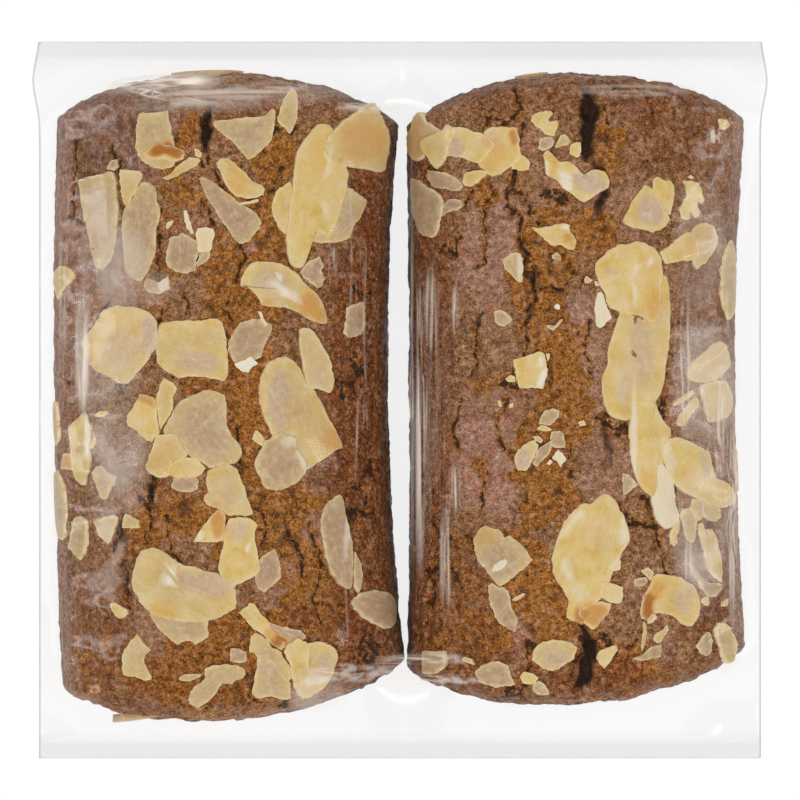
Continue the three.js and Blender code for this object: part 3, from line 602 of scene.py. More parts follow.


# ---- flaked almonds: thin slices, cream at the rim with a faintly pink, waxy middle and toasted ends, with a
# painted highlight along the rim and painted glints on ridges

def makeAlmondMaterial():
    material, tree = newMaterial("slicedBlanchedAlmond")
    own = addNode(tree, "ShaderNodeAttribute", {"attribute_name": "flakePlace"}).outputs["Vector"]
    masks = addNodes(tree, "ShaderNodeAttribute", "Fac", {
        key: {"attribute_name": key} for key in ("rim", "toast", "grey", "pale", "dusk")})

    # clouds of 3 mm, mottling of 1 mm, fibres along the slice and dust, in the flake's own millimetres
    along = addNode(tree, "ShaderNodeMapping", {"Vector": own, "Scale": (0.22, 1.7, 1.0)}).outputs[0]
    cloud, mottle, fibres, dust = addNodes(tree, "ShaderNodeTexNoise", "Fac", {
        "cloud": {"Vector": own, "Scale": 0.3, "Detail": 3, "Roughness": 0.6},
        "mottle": {"Vector": own, "Scale": 0.9, "Detail": 3, "Roughness": 0.6},
        "fibres": {"Vector": along, "Scale": 1.1, "Detail": 3, "Roughness": 0.6},
        "dust": {"Vector": own, "Scale": 3.2, "Detail": 2, "Roughness": 0.6},
    }).values()
    # the waxy heart has a broken border, and the toasting is stronger in the clouds
    broken = addNode(tree, "ShaderNodeMath", {
        "operation": "MULTIPLY_ADD", 0: mottle, 1: 0.7, 2: masks["grey"]}).outputs[0]
    scorched = addNode(tree, "ShaderNodeMath", {
        "operation": "MULTIPLY_ADD", 0: cloud, 1: 0.6, 2: -0.3}).outputs[0]
    scorched = addNode(tree, "ShaderNodeMath", {
        "operation": "ADD", "use_clamp": True, 0: scorched, 1: masks["toast"]}).outputs[0]
    # each share is 0 at its first limit and the most at its second
    shares = addNodes(tree, "ShaderNodeMapRange", 0, {
        key: {"Value": value, "From Min": start, "From Max": full, "To Max": most}
        for key, value, start, full, most in (
            ("heart", broken, 0.55, 1.3, 0.9), ("beige", masks["dusk"], 0.1, 0.6, 0.9),
            ("dusky", masks["dusk"], 0.55, 1, 1), ("fibres", fibres, 0.54, 0.72, 0.2),
            ("edge", mottle, 0.3, 0.55, 1), ("dust", dust, 0.68, 0.74, 0.35),
        )})
    tones = addNodes(tree, "ShaderNodeValToRGB", "Color", {
        "cream": {"Fac": cloud, "stops": [
            (0.32, "#d8b05e"), (0.45, "#dfc076"), (0.58, "#e2c68a"), (0.7, "#e4d2a8")]},
        "heart": {"Fac": mottle, "stops": [
            (0.34, "#c4a68c"), (0.48, "#ccae98"), (0.6, "#d2b7a2"), (0.7, "#d8c2ae")]},
        "beige": {"Fac": mottle, "stops": [
            (0.34, "#b8996c"), (0.48, "#bfa37a"), (0.6, "#c6ad86"), (0.7, "#cfbb98")]},
        "dusky": {"Fac": mottle, "stops": [
            (0.34, "#ab8766"), (0.48, "#b39074"), (0.6, "#be9b80"), (0.7, "#c9aa8e")]},
        "browned": {"Fac": masks["toast"], "stops": [
            (0.0, "#e2bf74"), (0.3, "#e0b05c"), (0.65, "#d2923e"), (1.0, "#ae6a28")]},
        "dust": {"Fac": dust, "stops": [(0.32, "#a39a90"), (0.5, "#bcbcbc"), (0.68, "#dcd6d0")]},
    })
    # the pale edge is partly the slice's own paler rim and partly a painted highlight where light catches it
    edge = addNode(tree, "ShaderNodeMath", {
        "operation": "MULTIPLY", "use_clamp": True, 0: masks["rim"], 1: shares["edge"]}).outputs[0]
    colour = layColours(tree, tones["cream"], [
        (shares["heart"], tones["heart"]), (shares["beige"], tones["beige"]), (shares["dusky"], tones["dusky"]),
        # the pale layer is white flakes and painted glints
        (shares["fibres"], "#f0dfb8"), (scorched, tones["browned"]), (masks["pale"], "#efe6d4"),
        (edge, "#f4e2b8"), (0.2, tones["dust"], "OVERLAY"), (shares["dust"], "#fbf3e0"),
    ])

    bump = addNode(tree, "ShaderNodeBump", {
        "Strength": 0.18, "Distance": 0.0004, "Height": fibres}).outputs["Normal"]
    shader = addNode(tree, "ShaderNodeBsdfPrincipled", {
        "Base Color": colour, "Normal": bump, "Roughness": 0.45, "IOR": 1.46, "Specular IOR Level": 0.5})
    addNode(tree, "ShaderNodeOutputMaterial", {"Surface": shader.outputs[0]})
    return material


flakeValues = {
    "sides": 90, "rise": 0.5, "layer": 0.45, "depth": 0.95, "rimWidth": 0.22, "steepest": 0.42, "jag": 0.035,
    "raggedSize": (1.3, 0.45), "raggedDepth": (0.24, 0.26),
    # how each flake lies: its lean, how far its rim curls up, its ridge, and the width at which both are full
    "lean": 0.02, "cup": (-0.25, 0.4), "ridge": (-0.15, 0.3), "fullWidth": 8,
    "flankFrom": 0.86,                                # share of the bar's half width where the flank begins
    # the end faces' flakes take a high tone, which is a painted shade
    "faceToast": 0.2, "faceShadeTone": 0.8,                # toasting and tone of the flakes on the end faces
    # rings from the middle to the foot: share of the outline, and share of the full height over the foot
    "rings": [[0.25, 1], [0.48, 1], [0.68, 1], [0.84, 1], [0.94, 1], [0.985, 0.98], [1, 0.86], [0.995, 0.3],
              [0.975, 0], [0.5, 0]],
}
# How pointed the tip is, how bent the flake is, and straight cuts: direction in degrees and distance
flakeShapes = {
    "oval": (0.1, 0, []), "fan": (0, 0, [(145, 0.42), (-120, 0.5)]), "sliver": (0.2, 0.1, []),
    "pentagon": (0, 0, [(20, 0.84), (92, 0.8), (165, 0.82), (236, 0.86), (308, 0.8)]),
}
# Flakes traced one by one. Tone is 1 for pinkish grey, 0 for cream and -1 for white; then the layer; then the
# outline's corners, x and y in turn, in steps.
leftTraced = [
    (0.55, 0, [140, 114, 156, 114, 169, 112, 171, 124, 173, 134, 175, 146, 177, 156, 176, 164, 172, 169, 164,
        171, 154, 169, 146, 164, 140, 157, 137, 149, 137, 139, 138, 124]),
    (0, 1, [150, 150, 159, 144, 170, 146, 182, 150, 186, 153, 185, 160, 179, 163, 161, 161, 150, 160, 145,
        156]),
    (0.65, 0, [80, 181, 97, 176, 114, 172, 117, 180, 118, 194, 119, 211, 118, 230, 116, 248, 112, 262, 104, 270,
        97, 267, 93, 256, 91, 243, 88, 228, 84, 211, 82, 194]),
    (0.3, 0, [121, 170, 140, 172, 144, 176, 139, 190, 132, 201, 128, 208, 125, 205, 122, 195, 121, 183]),
    (0.75, 0, [142, 183, 150, 184, 156, 189, 158, 195, 159, 203, 162, 211, 161, 221, 158, 231, 157, 239, 158,
        247, 156, 258, 149, 273, 142, 283, 134, 279, 127, 272, 126, 258, 123, 240, 123, 228, 124, 211, 128, 207,
        134, 199, 138, 190]),
    (0.3, 0, [164, 179, 172, 175, 180, 166, 191, 158, 200, 159, 202, 162, 196, 168, 189, 172, 177, 178, 168,
        181]),
    (0, 0, [195, 150, 199, 150, 203, 155, 202, 159, 197, 157]),
    (-0.5, 0, [185, 213, 188, 211, 191, 220, 193, 228, 195, 234, 192, 235, 188, 229, 186, 221]),
    (-0.2, 0, [167, 228, 169, 223, 175, 221, 173, 226, 169, 230]),
    (1, 0, [108, 170, 113, 162, 118, 160, 119, 168, 115, 172]),
    (0.6, 0, [214, 122, 239, 120, 264, 118, 269, 114, 273, 109, 276, 113, 274, 129, 272, 140, 269, 147, 262,
        154, 256, 158, 249, 161, 241, 152, 232, 142, 220, 132, 214, 127]),
    (0.4, 0, [292, 89, 296, 93, 298, 101, 298, 111, 297, 121, 294, 129, 290, 135, 284, 129, 279, 124, 278, 119,
        281, 110, 284, 101, 288, 94]),
    (0.2, 0, [217, 165, 221, 159, 229, 159, 235, 163, 242, 170, 249, 177, 254, 183, 262, 186, 265, 190, 264,
        196, 259, 198, 247, 200, 238, 198, 231, 192, 225, 182, 220, 171]),
    (-0.3, 0, [240, 204, 251, 202, 259, 200, 259, 203, 251, 205, 243, 206]),
    (1, 0, [346, 308, 352, 305, 358, 303, 363, 301, 364, 312, 365, 325, 361, 334, 356, 338, 349, 338, 344, 334,
        345, 320]),
    (0.9, 0, [200, 179, 206, 179, 214, 183, 228, 193, 242, 205, 256, 214, 262, 222, 260, 229, 249, 243, 241,
        246, 232, 236, 218, 214, 209, 200, 203, 188]),
    (0.2, 0, [290, 183, 281, 188, 276, 194, 273, 201, 272, 208, 273, 215, 277, 223, 280, 230, 284, 235, 290,
        236, 296, 220, 298, 200]),
    (0, 1, [316, 126, 322, 125, 329, 127, 333, 131, 340, 150, 345, 170, 345, 180, 344, 190, 341, 201, 339, 212,
        335, 223, 331, 233, 328, 240, 320, 235, 314, 232, 311, 243, 307, 256, 303, 267, 297, 270, 291, 267, 287,
        256, 286, 242, 287, 228, 289, 210, 291, 196, 293, 180, 295, 165, 297, 151, 301, 145, 306, 138, 312,
        132]),
    (0.3, 1.6, [371, 103, 375, 111, 378, 120, 382, 133, 384, 141, 383, 151, 381, 161, 379, 173, 374, 173, 365,
        172, 360, 170, 349, 169, 340, 167, 332, 165, 326, 162, 322, 157, 321, 152, 324, 145, 329, 136, 335, 129,
        344, 120, 355, 113, 363, 107]),
    (0.5, 0.3, [345, 188, 350, 190, 356, 195, 362, 199, 364, 204, 361, 211, 358, 218, 353, 226, 349, 239, 336,
        243, 322, 244, 312, 242, 320, 225, 335, 205]),
    (-0.4, 1, [197, 235, 199, 229, 207, 228, 215, 230, 216, 236, 214, 243, 214, 250, 210, 253, 200, 254, 198,
        249, 200, 244, 197, 240]),
    (0.8, 0, [200, 254, 211, 252, 211, 258, 207, 262, 202, 265, 198, 269, 197, 264, 200, 258]),
    (1, 0, [171, 239, 178, 237, 184, 234, 190, 236, 195, 239, 199, 243, 200, 250, 200, 256, 197, 264, 197, 270,
        193, 273, 184, 274, 178, 273, 172, 270, 167, 266, 167, 258, 169, 248, 170, 242]),
    (0.9, 0, [148, 278, 160, 283, 169, 277, 171, 282, 171, 289, 165, 292, 161, 295, 150, 293, 145, 288]),
    (0.3, 0, [241, 287, 242, 278, 246, 270, 250, 265, 255, 262, 262, 262, 271, 262, 280, 264, 288, 267, 296,
        273, 303, 281, 310, 288, 317, 295, 322, 303, 325, 311, 327, 319, 326, 325, 320, 324, 313, 322, 307, 319,
        300, 314, 292, 310, 282, 308, 270, 307, 262, 306, 260, 300, 257, 296, 252, 291, 247, 287]),
    (1, 0, [303, 268, 310, 261, 319, 257, 322, 262, 323, 268, 320, 271, 323, 277, 325, 280, 321, 287, 317, 289,
        311, 284, 304, 278, 301, 273]),
    (0.9, 0, [246, 321, 252, 319, 262, 319, 266, 321, 272, 325, 273, 329, 270, 337, 266, 342, 264, 350, 263,
        357, 257, 360, 250, 362, 242, 364, 237, 366, 233, 360, 230, 352, 229, 343, 232, 335, 237, 327, 241,
        323]),
    (-1, 0.8, [240, 362, 246, 360, 251, 356, 255, 360, 258, 364, 252, 368, 249, 373, 244, 372, 238, 368, 235,
        364]),
    (-0.5, 0.8, [258, 311, 262, 312, 264, 318, 268, 325, 266, 328, 262, 322]),
    (0.3, 1, [299, 330, 304, 328, 309, 328, 314, 332, 319, 340, 322, 346, 327, 353, 330, 362, 332, 372, 334,
        380, 333, 386, 332, 390, 330, 394, 324, 391, 316, 389, 310, 390, 307, 385, 304, 374, 302, 362, 300,
        348]),
    (0.35, 0, [262, 374, 266, 366, 272, 360, 280, 357, 288, 357, 295, 361, 300, 367, 304, 375, 308, 386, 316,
        390, 320, 398, 324, 406, 329, 416, 334, 426, 339, 436, 342, 442, 342, 448, 334, 451, 328, 457, 318, 462,
        310, 468, 300, 472, 290, 470, 280, 455, 272, 435, 267, 423, 262, 412, 260, 402, 259, 390, 260, 380]),
    (0.7, 1, [266, 440, 274, 436, 281, 431, 286, 435, 296, 436, 297, 446, 299, 452, 304, 459, 307, 465, 306,
        472, 302, 476, 299, 481, 291, 485, 284, 489, 275, 490, 267, 489, 263, 485, 262, 480, 260, 476, 257, 472,
        255, 465, 256, 458, 260, 450, 263, 445]),
    (0, 0, [256, 430, 259, 431, 264, 437, 267, 441, 262, 446, 256, 442, 252, 439, 254, 434]),
    (0.2, 0, [112, 308, 122, 306, 133, 307, 143, 309, 150, 312, 158, 319, 160, 330, 160, 340, 156, 350, 150,
        359, 144, 367, 136, 377, 130, 383, 124, 384, 118, 381, 109, 377, 98, 371, 92, 363, 87, 352, 84, 344, 86,
        337, 92, 331, 98, 325, 102, 318, 107, 311]),
    (0.3, 0, [161, 323, 175, 321, 195, 321, 205, 320, 219, 319, 224, 324, 227, 332, 228, 345, 229, 360, 229,
        375, 226, 382, 218, 380, 205, 377, 192, 377, 178, 378, 170, 373, 163, 368, 159, 364, 157, 350, 158,
        335]),
    (0, 0.9, [142, 395, 146, 394, 152, 395, 156, 399, 158, 405, 159, 415, 160, 425, 161, 433, 158, 437, 154,
        442, 149, 440, 142, 434, 136, 429, 131, 426, 129, 421, 131, 414, 136, 407, 140, 401]),
    (0.2, 0, [165, 378, 170, 380, 175, 383, 179, 387, 177, 393, 174, 397, 175, 403, 174, 409, 170, 417, 166,
        423, 162, 430, 160, 422, 159, 412, 158, 404, 156, 399, 159, 392, 162, 385]),
    (0.6, 0, [177, 407, 183, 401, 190, 396, 200, 392, 210, 390, 219, 391, 226, 395, 227, 402, 228, 412, 229,
        428, 236, 439, 242, 447, 243, 454, 241, 459, 235, 463, 222, 465, 211, 467, 203, 462, 190, 456, 180, 448,
        168, 440, 164, 432, 168, 424, 172, 416]),
    (0.3, 0.8, [158, 436, 166, 434, 178, 433, 180, 438, 184, 446, 188, 452, 189, 456, 184, 459, 176, 461, 172,
        466, 173, 473, 170, 477, 160, 477, 152, 473, 147, 468, 150, 460, 153, 452, 155, 444]),
    (0.1, 1.2, [196, 456, 201, 460, 205, 464, 207, 468, 203, 473, 198, 476, 190, 476, 180, 477, 173, 476, 167,
        470, 172, 464, 177, 460, 184, 459, 190, 457]),
    (1, 0, [175, 478, 182, 476, 196, 475, 200, 480, 199, 488, 192, 492, 180, 491, 173, 488]),
    (0.2, 0, [86, 412, 90, 417, 92, 425, 93, 435, 93, 442, 92, 447, 94, 455, 93, 461, 91, 470, 89, 478, 87, 485,
        83, 485, 79, 482, 76, 474, 74, 464, 73, 450, 72, 438, 72, 426, 77, 421, 80, 419]),
    (0, 0, [92, 448, 95, 440, 98, 436, 98, 443, 95, 449]),
    (0.2, 0, [65, 453, 72, 453, 74, 462, 74, 470, 62, 469, 64, 460]),
    (0.5, 0, [104, 464, 110, 471, 115, 474, 119, 476, 117, 484, 112, 490, 109, 497, 105, 499, 102, 496, 100,
        490, 97, 480, 95, 472, 99, 467]),
    (0.6, 0, [76, 517, 82, 515, 88, 520, 89, 530, 88, 542, 84, 555, 81, 560, 76, 555, 70, 548, 71, 538, 74,
        528]),
    (0.4, 0, [95, 521, 105, 517, 114, 514, 120, 516, 118, 524, 115, 533, 112, 541, 109, 544, 103, 538, 100, 533,
        99, 528]),
    (0.4, 0, [127, 513, 134, 516, 140, 519, 141, 527, 133, 528, 124, 527, 124, 521]),
    (0.1, 0, [97, 415, 102, 411, 109, 411, 111, 413, 108, 416, 98, 417]),
    (0.3, 0, [209, 470, 215, 467, 222, 465, 226, 463, 232, 465, 238, 469, 241, 476, 245, 485, 249, 498, 252,
        507, 254, 513, 250, 515, 240, 515, 228, 514, 222, 509, 214, 507, 208, 504, 205, 499, 206, 495, 210, 492,
        208, 487, 208, 479]),
    (0, 0, [219, 509, 223, 509, 226, 513, 227, 520, 226, 528, 226, 535, 225, 540, 210, 541, 194, 541, 198, 535,
        203, 528, 208, 520, 213, 514]),
    (0.1, 1.6, [229, 518, 240, 516, 250, 517, 257, 521, 258, 524, 256, 530, 255, 538, 257, 545, 258, 553, 259,
        560, 261, 568, 258, 574, 251, 577, 244, 581, 238, 584, 233, 588, 229, 589, 225, 584, 222, 578, 219, 570,
        220, 562, 222, 553, 224, 545, 225, 536, 227, 526]),
    (0.3, 0.9, [141, 552, 147, 548, 155, 546, 163, 549, 170, 554, 178, 560, 187, 565, 198, 566, 208, 570, 218,
        572, 224, 576, 230, 584, 236, 588, 237, 592, 238, 600, 236, 607, 230, 611, 222, 616, 210, 619, 198, 622,
        185, 621, 172, 619, 160, 615, 150, 609, 142, 601, 141, 597, 136, 590, 134, 580, 135, 570, 137, 562]),
    (0.6, 0, [148, 606, 170, 612, 200, 612, 209, 617, 210, 630, 209, 637, 203, 640, 197, 643, 192, 640, 186,
        639, 182, 641, 179, 644, 174, 640, 167, 634, 160, 628, 154, 618]),
    (0.1, 1.2, [239, 611, 244, 607, 251, 601, 256, 604, 261, 612, 268, 619, 272, 627, 278, 635, 285, 641, 284,
        647, 281, 649, 275, 645, 268, 640, 264, 634, 259, 630, 252, 625, 246, 618]),
    (0.4, 0.8, [256, 631, 262, 634, 268, 640, 273, 646, 281, 650, 284, 658, 290, 665, 291, 676, 288, 680, 284,
        674, 279, 666, 272, 661, 265, 662, 260, 659, 257, 655, 254, 651, 249, 651, 250, 643, 251, 636]),
    (0.5, 0, [258, 656, 268, 657, 275, 661, 281, 667, 285, 675, 290, 680, 291, 690, 290, 698, 280, 697, 272,
        695, 262, 697, 256, 696, 252, 692, 254, 683, 255, 674, 257, 666]),
    (0.2, 1.5, [286, 643, 292, 640, 297, 636, 303, 640, 307, 645, 308, 655, 306, 668, 300, 680, 294, 682, 291,
        675, 290, 665, 287, 657, 284, 650]),
    (0.3, 0.9, [307, 642, 313, 640, 320, 640, 328, 643, 334, 649, 336, 656, 334, 663, 332, 670, 329, 677, 324,
        685, 318, 691, 310, 695, 302, 698, 297, 693, 293, 685, 292, 676, 298, 660]),
    (0.9, 0, [264, 619, 280, 625, 300, 629, 305, 636, 300, 642, 285, 646, 274, 636]),
    (0.6, 0, [206, 667, 213, 664, 225, 663, 238, 664, 246, 667, 247, 672, 244, 677, 236, 679, 233, 683, 229,
        681, 224, 681, 219, 688, 214, 695, 207, 702, 198, 706, 192, 703, 190, 697, 192, 690, 197, 684, 203, 680,
        206, 675]),
    (0.6, 0, [180, 676, 186, 673, 193, 672, 203, 673, 200, 676, 192, 679, 182, 679]),
    (1, 0, [275, 547, 268, 552, 262, 556, 257, 561, 256, 570, 256, 580, 258, 588, 263, 592, 270, 587, 276, 582,
        281, 576, 281, 568, 279, 560, 277, 552]),
    (1, 0, [231, 647, 240, 647, 248, 652, 248, 660, 240, 662, 231, 660]),
    (0.95, 0, [340, 493, 334, 497, 327, 502, 322, 510, 320, 520, 320, 530, 322, 538, 322, 545, 324, 555, 327,
        565, 331, 575, 338, 584, 347, 589, 350, 585, 350, 570, 350, 555, 349, 540, 347, 525, 344, 513, 343,
        500]),
    (0.6, 0, [352, 550, 357, 560, 360, 570, 359, 582, 356, 592, 352, 585]),
    # this flake hangs on the flank, and its high tone is a painted shade
    (0.95, 0, [362, 592, 368, 590, 374, 589, 382, 592, 390, 594, 396, 598, 397, 606, 396, 615, 393, 623, 385,
        628, 377, 627, 368, 621, 361, 615, 357, 608, 355, 601, 358, 594]),
    (0.1, 0, [112, 603, 117, 602, 122, 605, 129, 608, 129, 612, 125, 617, 121, 618, 117, 615, 114, 609]),
    (0.4, 0, [139, 632, 141, 637, 144, 641, 149, 645, 152, 649, 149, 652, 146, 655, 147, 662, 150, 669, 154,
        675, 153, 679, 147, 679, 140, 677, 132, 675, 126, 674, 124, 668, 124, 658, 126, 650, 129, 644, 133, 639,
        137, 636]),
]
rightTraced = [
    (0.5, 0, [421, 112, 424, 117, 428, 123, 432, 128, 437, 132, 438, 135, 431, 140, 428, 147, 426, 153, 423,
        160, 418, 162, 413, 160, 408, 153, 406, 145, 406, 138, 409, 132, 413, 127, 415, 120, 417, 115]),
    (0.2, 1.6, [430, 138, 440, 134, 450, 131, 458, 130, 456, 137, 452, 146, 449, 156, 445, 164, 440, 170, 435,
        164, 430, 157, 426, 151, 424, 145, 426, 140]),
    (0.1, 0.9, [449, 125, 455, 128, 464, 128, 471, 131, 479, 134, 486, 136, 491, 140, 495, 145, 493, 149, 488,
        155, 484, 161, 481, 165, 475, 164, 469, 162, 463, 159, 455, 158, 447, 156, 446, 148, 446, 131]),
    (0.1, 0, [484, 131, 490, 129, 500, 128, 508, 128, 517, 130, 518, 140, 519, 151, 522, 157, 518, 162, 511,
        167, 504, 172, 500, 176, 493, 178, 487, 175, 482, 170, 478, 165, 480, 155, 485, 145, 484, 138]),
    (0.1, 0, [515, 158, 522, 157, 527, 160, 530, 165, 528, 171, 520, 172, 511, 170, 510, 165]),
    (0.9, 0, [429, 171, 438, 172, 450, 175, 458, 180, 464, 186, 462, 190, 457, 192, 447, 190, 435, 189, 431,
        183, 428, 176]),
    (0, 0.4, [465, 175, 472, 172, 480, 171, 487, 172, 486, 176, 481, 180, 478, 184, 473, 187, 466, 187, 464,
        182]),
    (0.9, 0, [409, 178, 414, 180, 420, 181, 426, 186, 432, 190, 437, 195, 440, 202, 441, 208, 439, 215, 438,
        223, 437, 231, 434, 237, 430, 238, 424, 236, 419, 231, 415, 223, 411, 212, 410, 200, 409, 190]),
    (1, 0, [446, 203, 450, 200, 455, 199, 462, 201, 464, 205, 461, 209, 455, 211, 450, 212, 445, 214, 443, 217,
        441, 216, 444, 210]),
    (0.1, 0, [530, 118, 537, 114, 545, 112, 550, 113, 552, 116, 548, 119, 547, 122, 549, 124, 554, 122, 558,
        122, 558, 127, 556, 132, 554, 138, 549, 136, 545, 135, 539, 131, 534, 127, 531, 123]),
    (0, 0.6, [543, 163, 542, 157, 544, 152, 548, 151, 549, 156, 549, 161, 553, 163, 556, 165, 562, 163, 567,
        163, 573, 166, 576, 169, 580, 174, 586, 177, 588, 176, 590, 171, 596, 171, 603, 173, 606, 178, 608, 183,
        607, 188, 602, 192, 597, 196, 590, 201, 583, 204, 578, 201, 573, 197, 568, 193, 562, 190, 559, 186, 556,
        181, 550, 179, 546, 176, 544, 170]),
    (0, 0, [568, 152, 570, 146, 575, 144, 580, 144, 580, 150, 579, 157, 576, 159, 572, 157, 569, 155]),
    (0.9, 0, [540, 140, 545, 138, 551, 138, 553, 142, 552, 147, 548, 150, 543, 152, 537, 150, 538, 145]),
    (0.4, 0, [560, 137, 564, 136, 570, 141, 568, 146, 562, 147, 556, 150, 554, 148, 557, 142]),
    (0.1, 0, [530, 228, 538, 229, 548, 227, 556, 225, 565, 224, 569, 226, 569, 232, 573, 237, 575, 241, 575,
        247, 572, 251, 567, 250, 563, 247, 559, 246, 554, 248, 548, 244, 541, 238, 535, 233]),
    (0.2, 0.7, [644, 185, 648, 188, 652, 193, 656, 201, 661, 210, 666, 218, 666, 222, 662, 228, 655, 232, 650,
        234, 643, 231, 638, 229, 632, 230, 624, 226, 621, 222, 624, 216, 630, 203, 636, 195, 641, 188]),
    (0, 0, [651, 182, 655, 177, 659, 180, 663, 182, 668, 181, 672, 187, 671, 197, 670, 207, 668, 216, 663, 215,
        658, 208, 654, 199, 651, 191]),
    (0.5, 0, [502, 261, 507, 256, 512, 253, 518, 254, 522, 259, 522, 270, 522, 283, 519, 284, 514, 279, 509,
        274, 505, 269]),
    (0.7, 0, [495, 312, 500, 310, 505, 312, 510, 317, 513, 322, 508, 324, 504, 327, 499, 326, 495, 322]),
    (1, 0, [551, 256, 556, 253, 560, 257, 560, 262, 556, 260, 552, 260]),
    (-1, 0, [553, 307, 556, 304, 559, 306, 559, 310, 555, 310]),
    (0.6, 0, [545, 326, 549, 325, 551, 328, 555, 325, 559, 320, 562, 320, 559, 325, 553, 331, 551, 331, 547,
        329]),
    (0, 0, [513, 360, 521, 358, 528, 355, 536, 352, 543, 353, 546, 360, 547, 370, 545, 380, 542, 389, 533, 388,
        520, 389, 518, 386, 516, 378, 514, 369]),
    (0.1, 0, [545, 354, 549, 354, 549, 358, 547, 362]),
    (-0.7, 0, [596, 294, 600, 291, 602, 294, 604, 300, 606, 308, 609, 313, 611, 318, 607, 321, 603, 326, 599,
        329, 595, 326, 594, 318, 593, 308, 594, 302]),
    (0.2, 0, [505, 379, 510, 375, 515, 377, 515, 382, 508, 382]),
    (0.2, 0, [583, 280, 585, 276, 589, 279, 592, 281, 588, 284, 584, 284]),
    (-0.4, 0, [593, 282, 596, 282, 598, 287, 594, 286]),
    (0.1, 1.3, [600, 258, 604, 253, 610, 249, 617, 245, 628, 244, 637, 241, 644, 244, 650, 247, 656, 253, 659,
        260, 660, 268, 660, 280, 659, 295, 659, 308, 657, 317, 653, 324, 649, 323, 645, 320, 638, 317, 629, 316,
        620, 314, 612, 311, 607, 308, 605, 304, 604, 296, 602, 292, 598, 287, 595, 278, 593, 270, 594, 262]),
    (0.2, 0, [622, 300, 640, 290, 658, 275, 664, 276, 667, 287, 669, 303, 669, 325, 668, 340, 666, 355, 664,
        368, 661, 384, 659, 392, 654, 400, 652, 405, 640, 405, 632, 405, 630, 415, 627, 421, 620, 421, 612, 418,
        606, 413, 602, 405, 600, 392, 600, 381, 602, 373, 606, 364, 605, 356, 607, 347, 611, 335, 615, 325]),
    (0, 0.8, [634, 384, 642, 384, 650, 388, 656, 393, 654, 400, 656, 410, 661, 420, 668, 427, 668, 435, 663,
        445, 662, 458, 660, 466, 656, 474, 655, 486, 651, 497, 644, 492, 639, 487, 634, 478, 630, 465, 628, 450,
        627, 433, 628, 415, 629, 402, 631, 392]),
    (0, 1.6, [672, 436, 680, 439, 690, 443, 700, 449, 704, 450, 706, 458, 708, 468, 711, 478, 718, 481, 724,
        485, 728, 492, 729, 500, 727, 504, 718, 508, 708, 506, 700, 502, 692, 497, 684, 494, 676, 488, 669, 482,
        664, 470, 661, 462, 659, 452, 660, 444, 665, 438]),
    (-0.6, 1, [659, 461, 663, 468, 668, 475, 671, 482, 672, 491, 672, 499, 674, 508, 676, 514, 676, 520, 673,
        523, 671, 527, 664, 529, 658, 525, 654, 520, 651, 511, 649, 500, 650, 492, 653, 483, 653, 475, 651, 470,
        653, 465]),
    (0.1, 0, [673, 522, 677, 520, 676, 530, 674, 537, 675, 543, 671, 545, 668, 542, 667, 536, 669, 530]),
    (0.8, 0, [621, 472, 627, 474, 632, 479, 637, 484, 631, 489, 626, 493, 622, 494, 621, 483]),
    (0.4, 0.3, [690, 498, 698, 500, 706, 503, 715, 505, 717, 512, 717, 517, 713, 522, 706, 520, 700, 516, 696,
        520, 693, 519, 690, 512, 688, 507]),
    (0.4, 0, [680, 508, 688, 508, 691, 513, 694, 520, 693, 530, 692, 540, 690, 543, 684, 540, 681, 533, 680,
        525, 678, 515]),
    (0.2, 0, [695, 523, 700, 522, 702, 530, 709, 528, 713, 536, 715, 547, 717, 560, 718, 575, 717, 582, 710,
        578, 705, 570, 702, 562, 700, 550, 698, 540, 695, 530]),
    (0.9, 0, [683, 560, 690, 566, 697, 580, 706, 582, 716, 583, 718, 588, 712, 595, 706, 597, 700, 592, 692,
        577]),
    (0.3, 0, [638, 570, 645, 566, 652, 572, 650, 575, 648, 580, 644, 575]),
    (1, 0, [632, 578, 644, 576, 646, 581, 641, 585, 633, 586]),
    (0.1, 0, [650, 576, 655, 573, 663, 573, 672, 575, 680, 578, 687, 582, 692, 589, 695, 597, 696, 606, 695,
        614, 692, 621, 688, 625, 684, 626, 678, 623, 674, 618, 668, 615, 661, 612, 653, 612, 648, 614, 644, 618,
        640, 618, 638, 612, 638, 606, 640, 601, 641, 595, 645, 589, 648, 584]),
    (-0.3, 0, [645, 618, 649, 613, 653, 613, 655, 616, 652, 620, 646, 623]),
    (-0.2, 0, [697, 598, 704, 595, 705, 601, 704, 605, 700, 605, 697, 601]),
    (0.2, 0, [719, 601, 724, 598, 723, 605, 719, 606]),
    (0.4, 0, [712, 627, 716, 622, 722, 623, 727, 627, 731, 637, 733, 645, 731, 652, 728, 660, 723, 664, 718,
        657, 715, 646, 713, 636]),
    (0.9, 0, [692, 645, 696, 639, 703, 630, 706, 632, 708, 640, 707, 652, 702, 655, 696, 651]),
    (0.3, 0, [651, 637, 655, 631, 661, 628, 665, 623, 666, 629, 662, 636, 657, 642, 653, 641]),
    (0.4, 0, [641, 620, 644, 622, 645, 632, 643, 642, 640, 650, 639, 645, 641, 632]),
    (0.9, 0, [630, 657, 640, 654, 650, 645, 659, 643, 658, 655, 650, 657, 640, 659]),
    (0, 0.5, [596, 652, 603, 648, 610, 645, 615, 644, 616, 649, 612, 655, 607, 662, 603, 667, 598, 663, 595,
        657]),
    (0.1, 0, [551, 560, 553, 550, 555, 540, 558, 530, 563, 521, 570, 513, 577, 506, 583, 502, 590, 504, 595,
        499, 600, 494, 606, 492, 609, 495, 613, 499, 618, 508, 622, 515, 626, 524, 628, 535, 628, 541, 624, 547,
        620, 553, 618, 560, 612, 570, 608, 580, 604, 590, 600, 598, 590, 606, 584, 612, 582, 624, 572, 620, 565,
        617, 566, 608, 568, 600, 564, 592, 560, 586, 555, 578, 552, 570]),
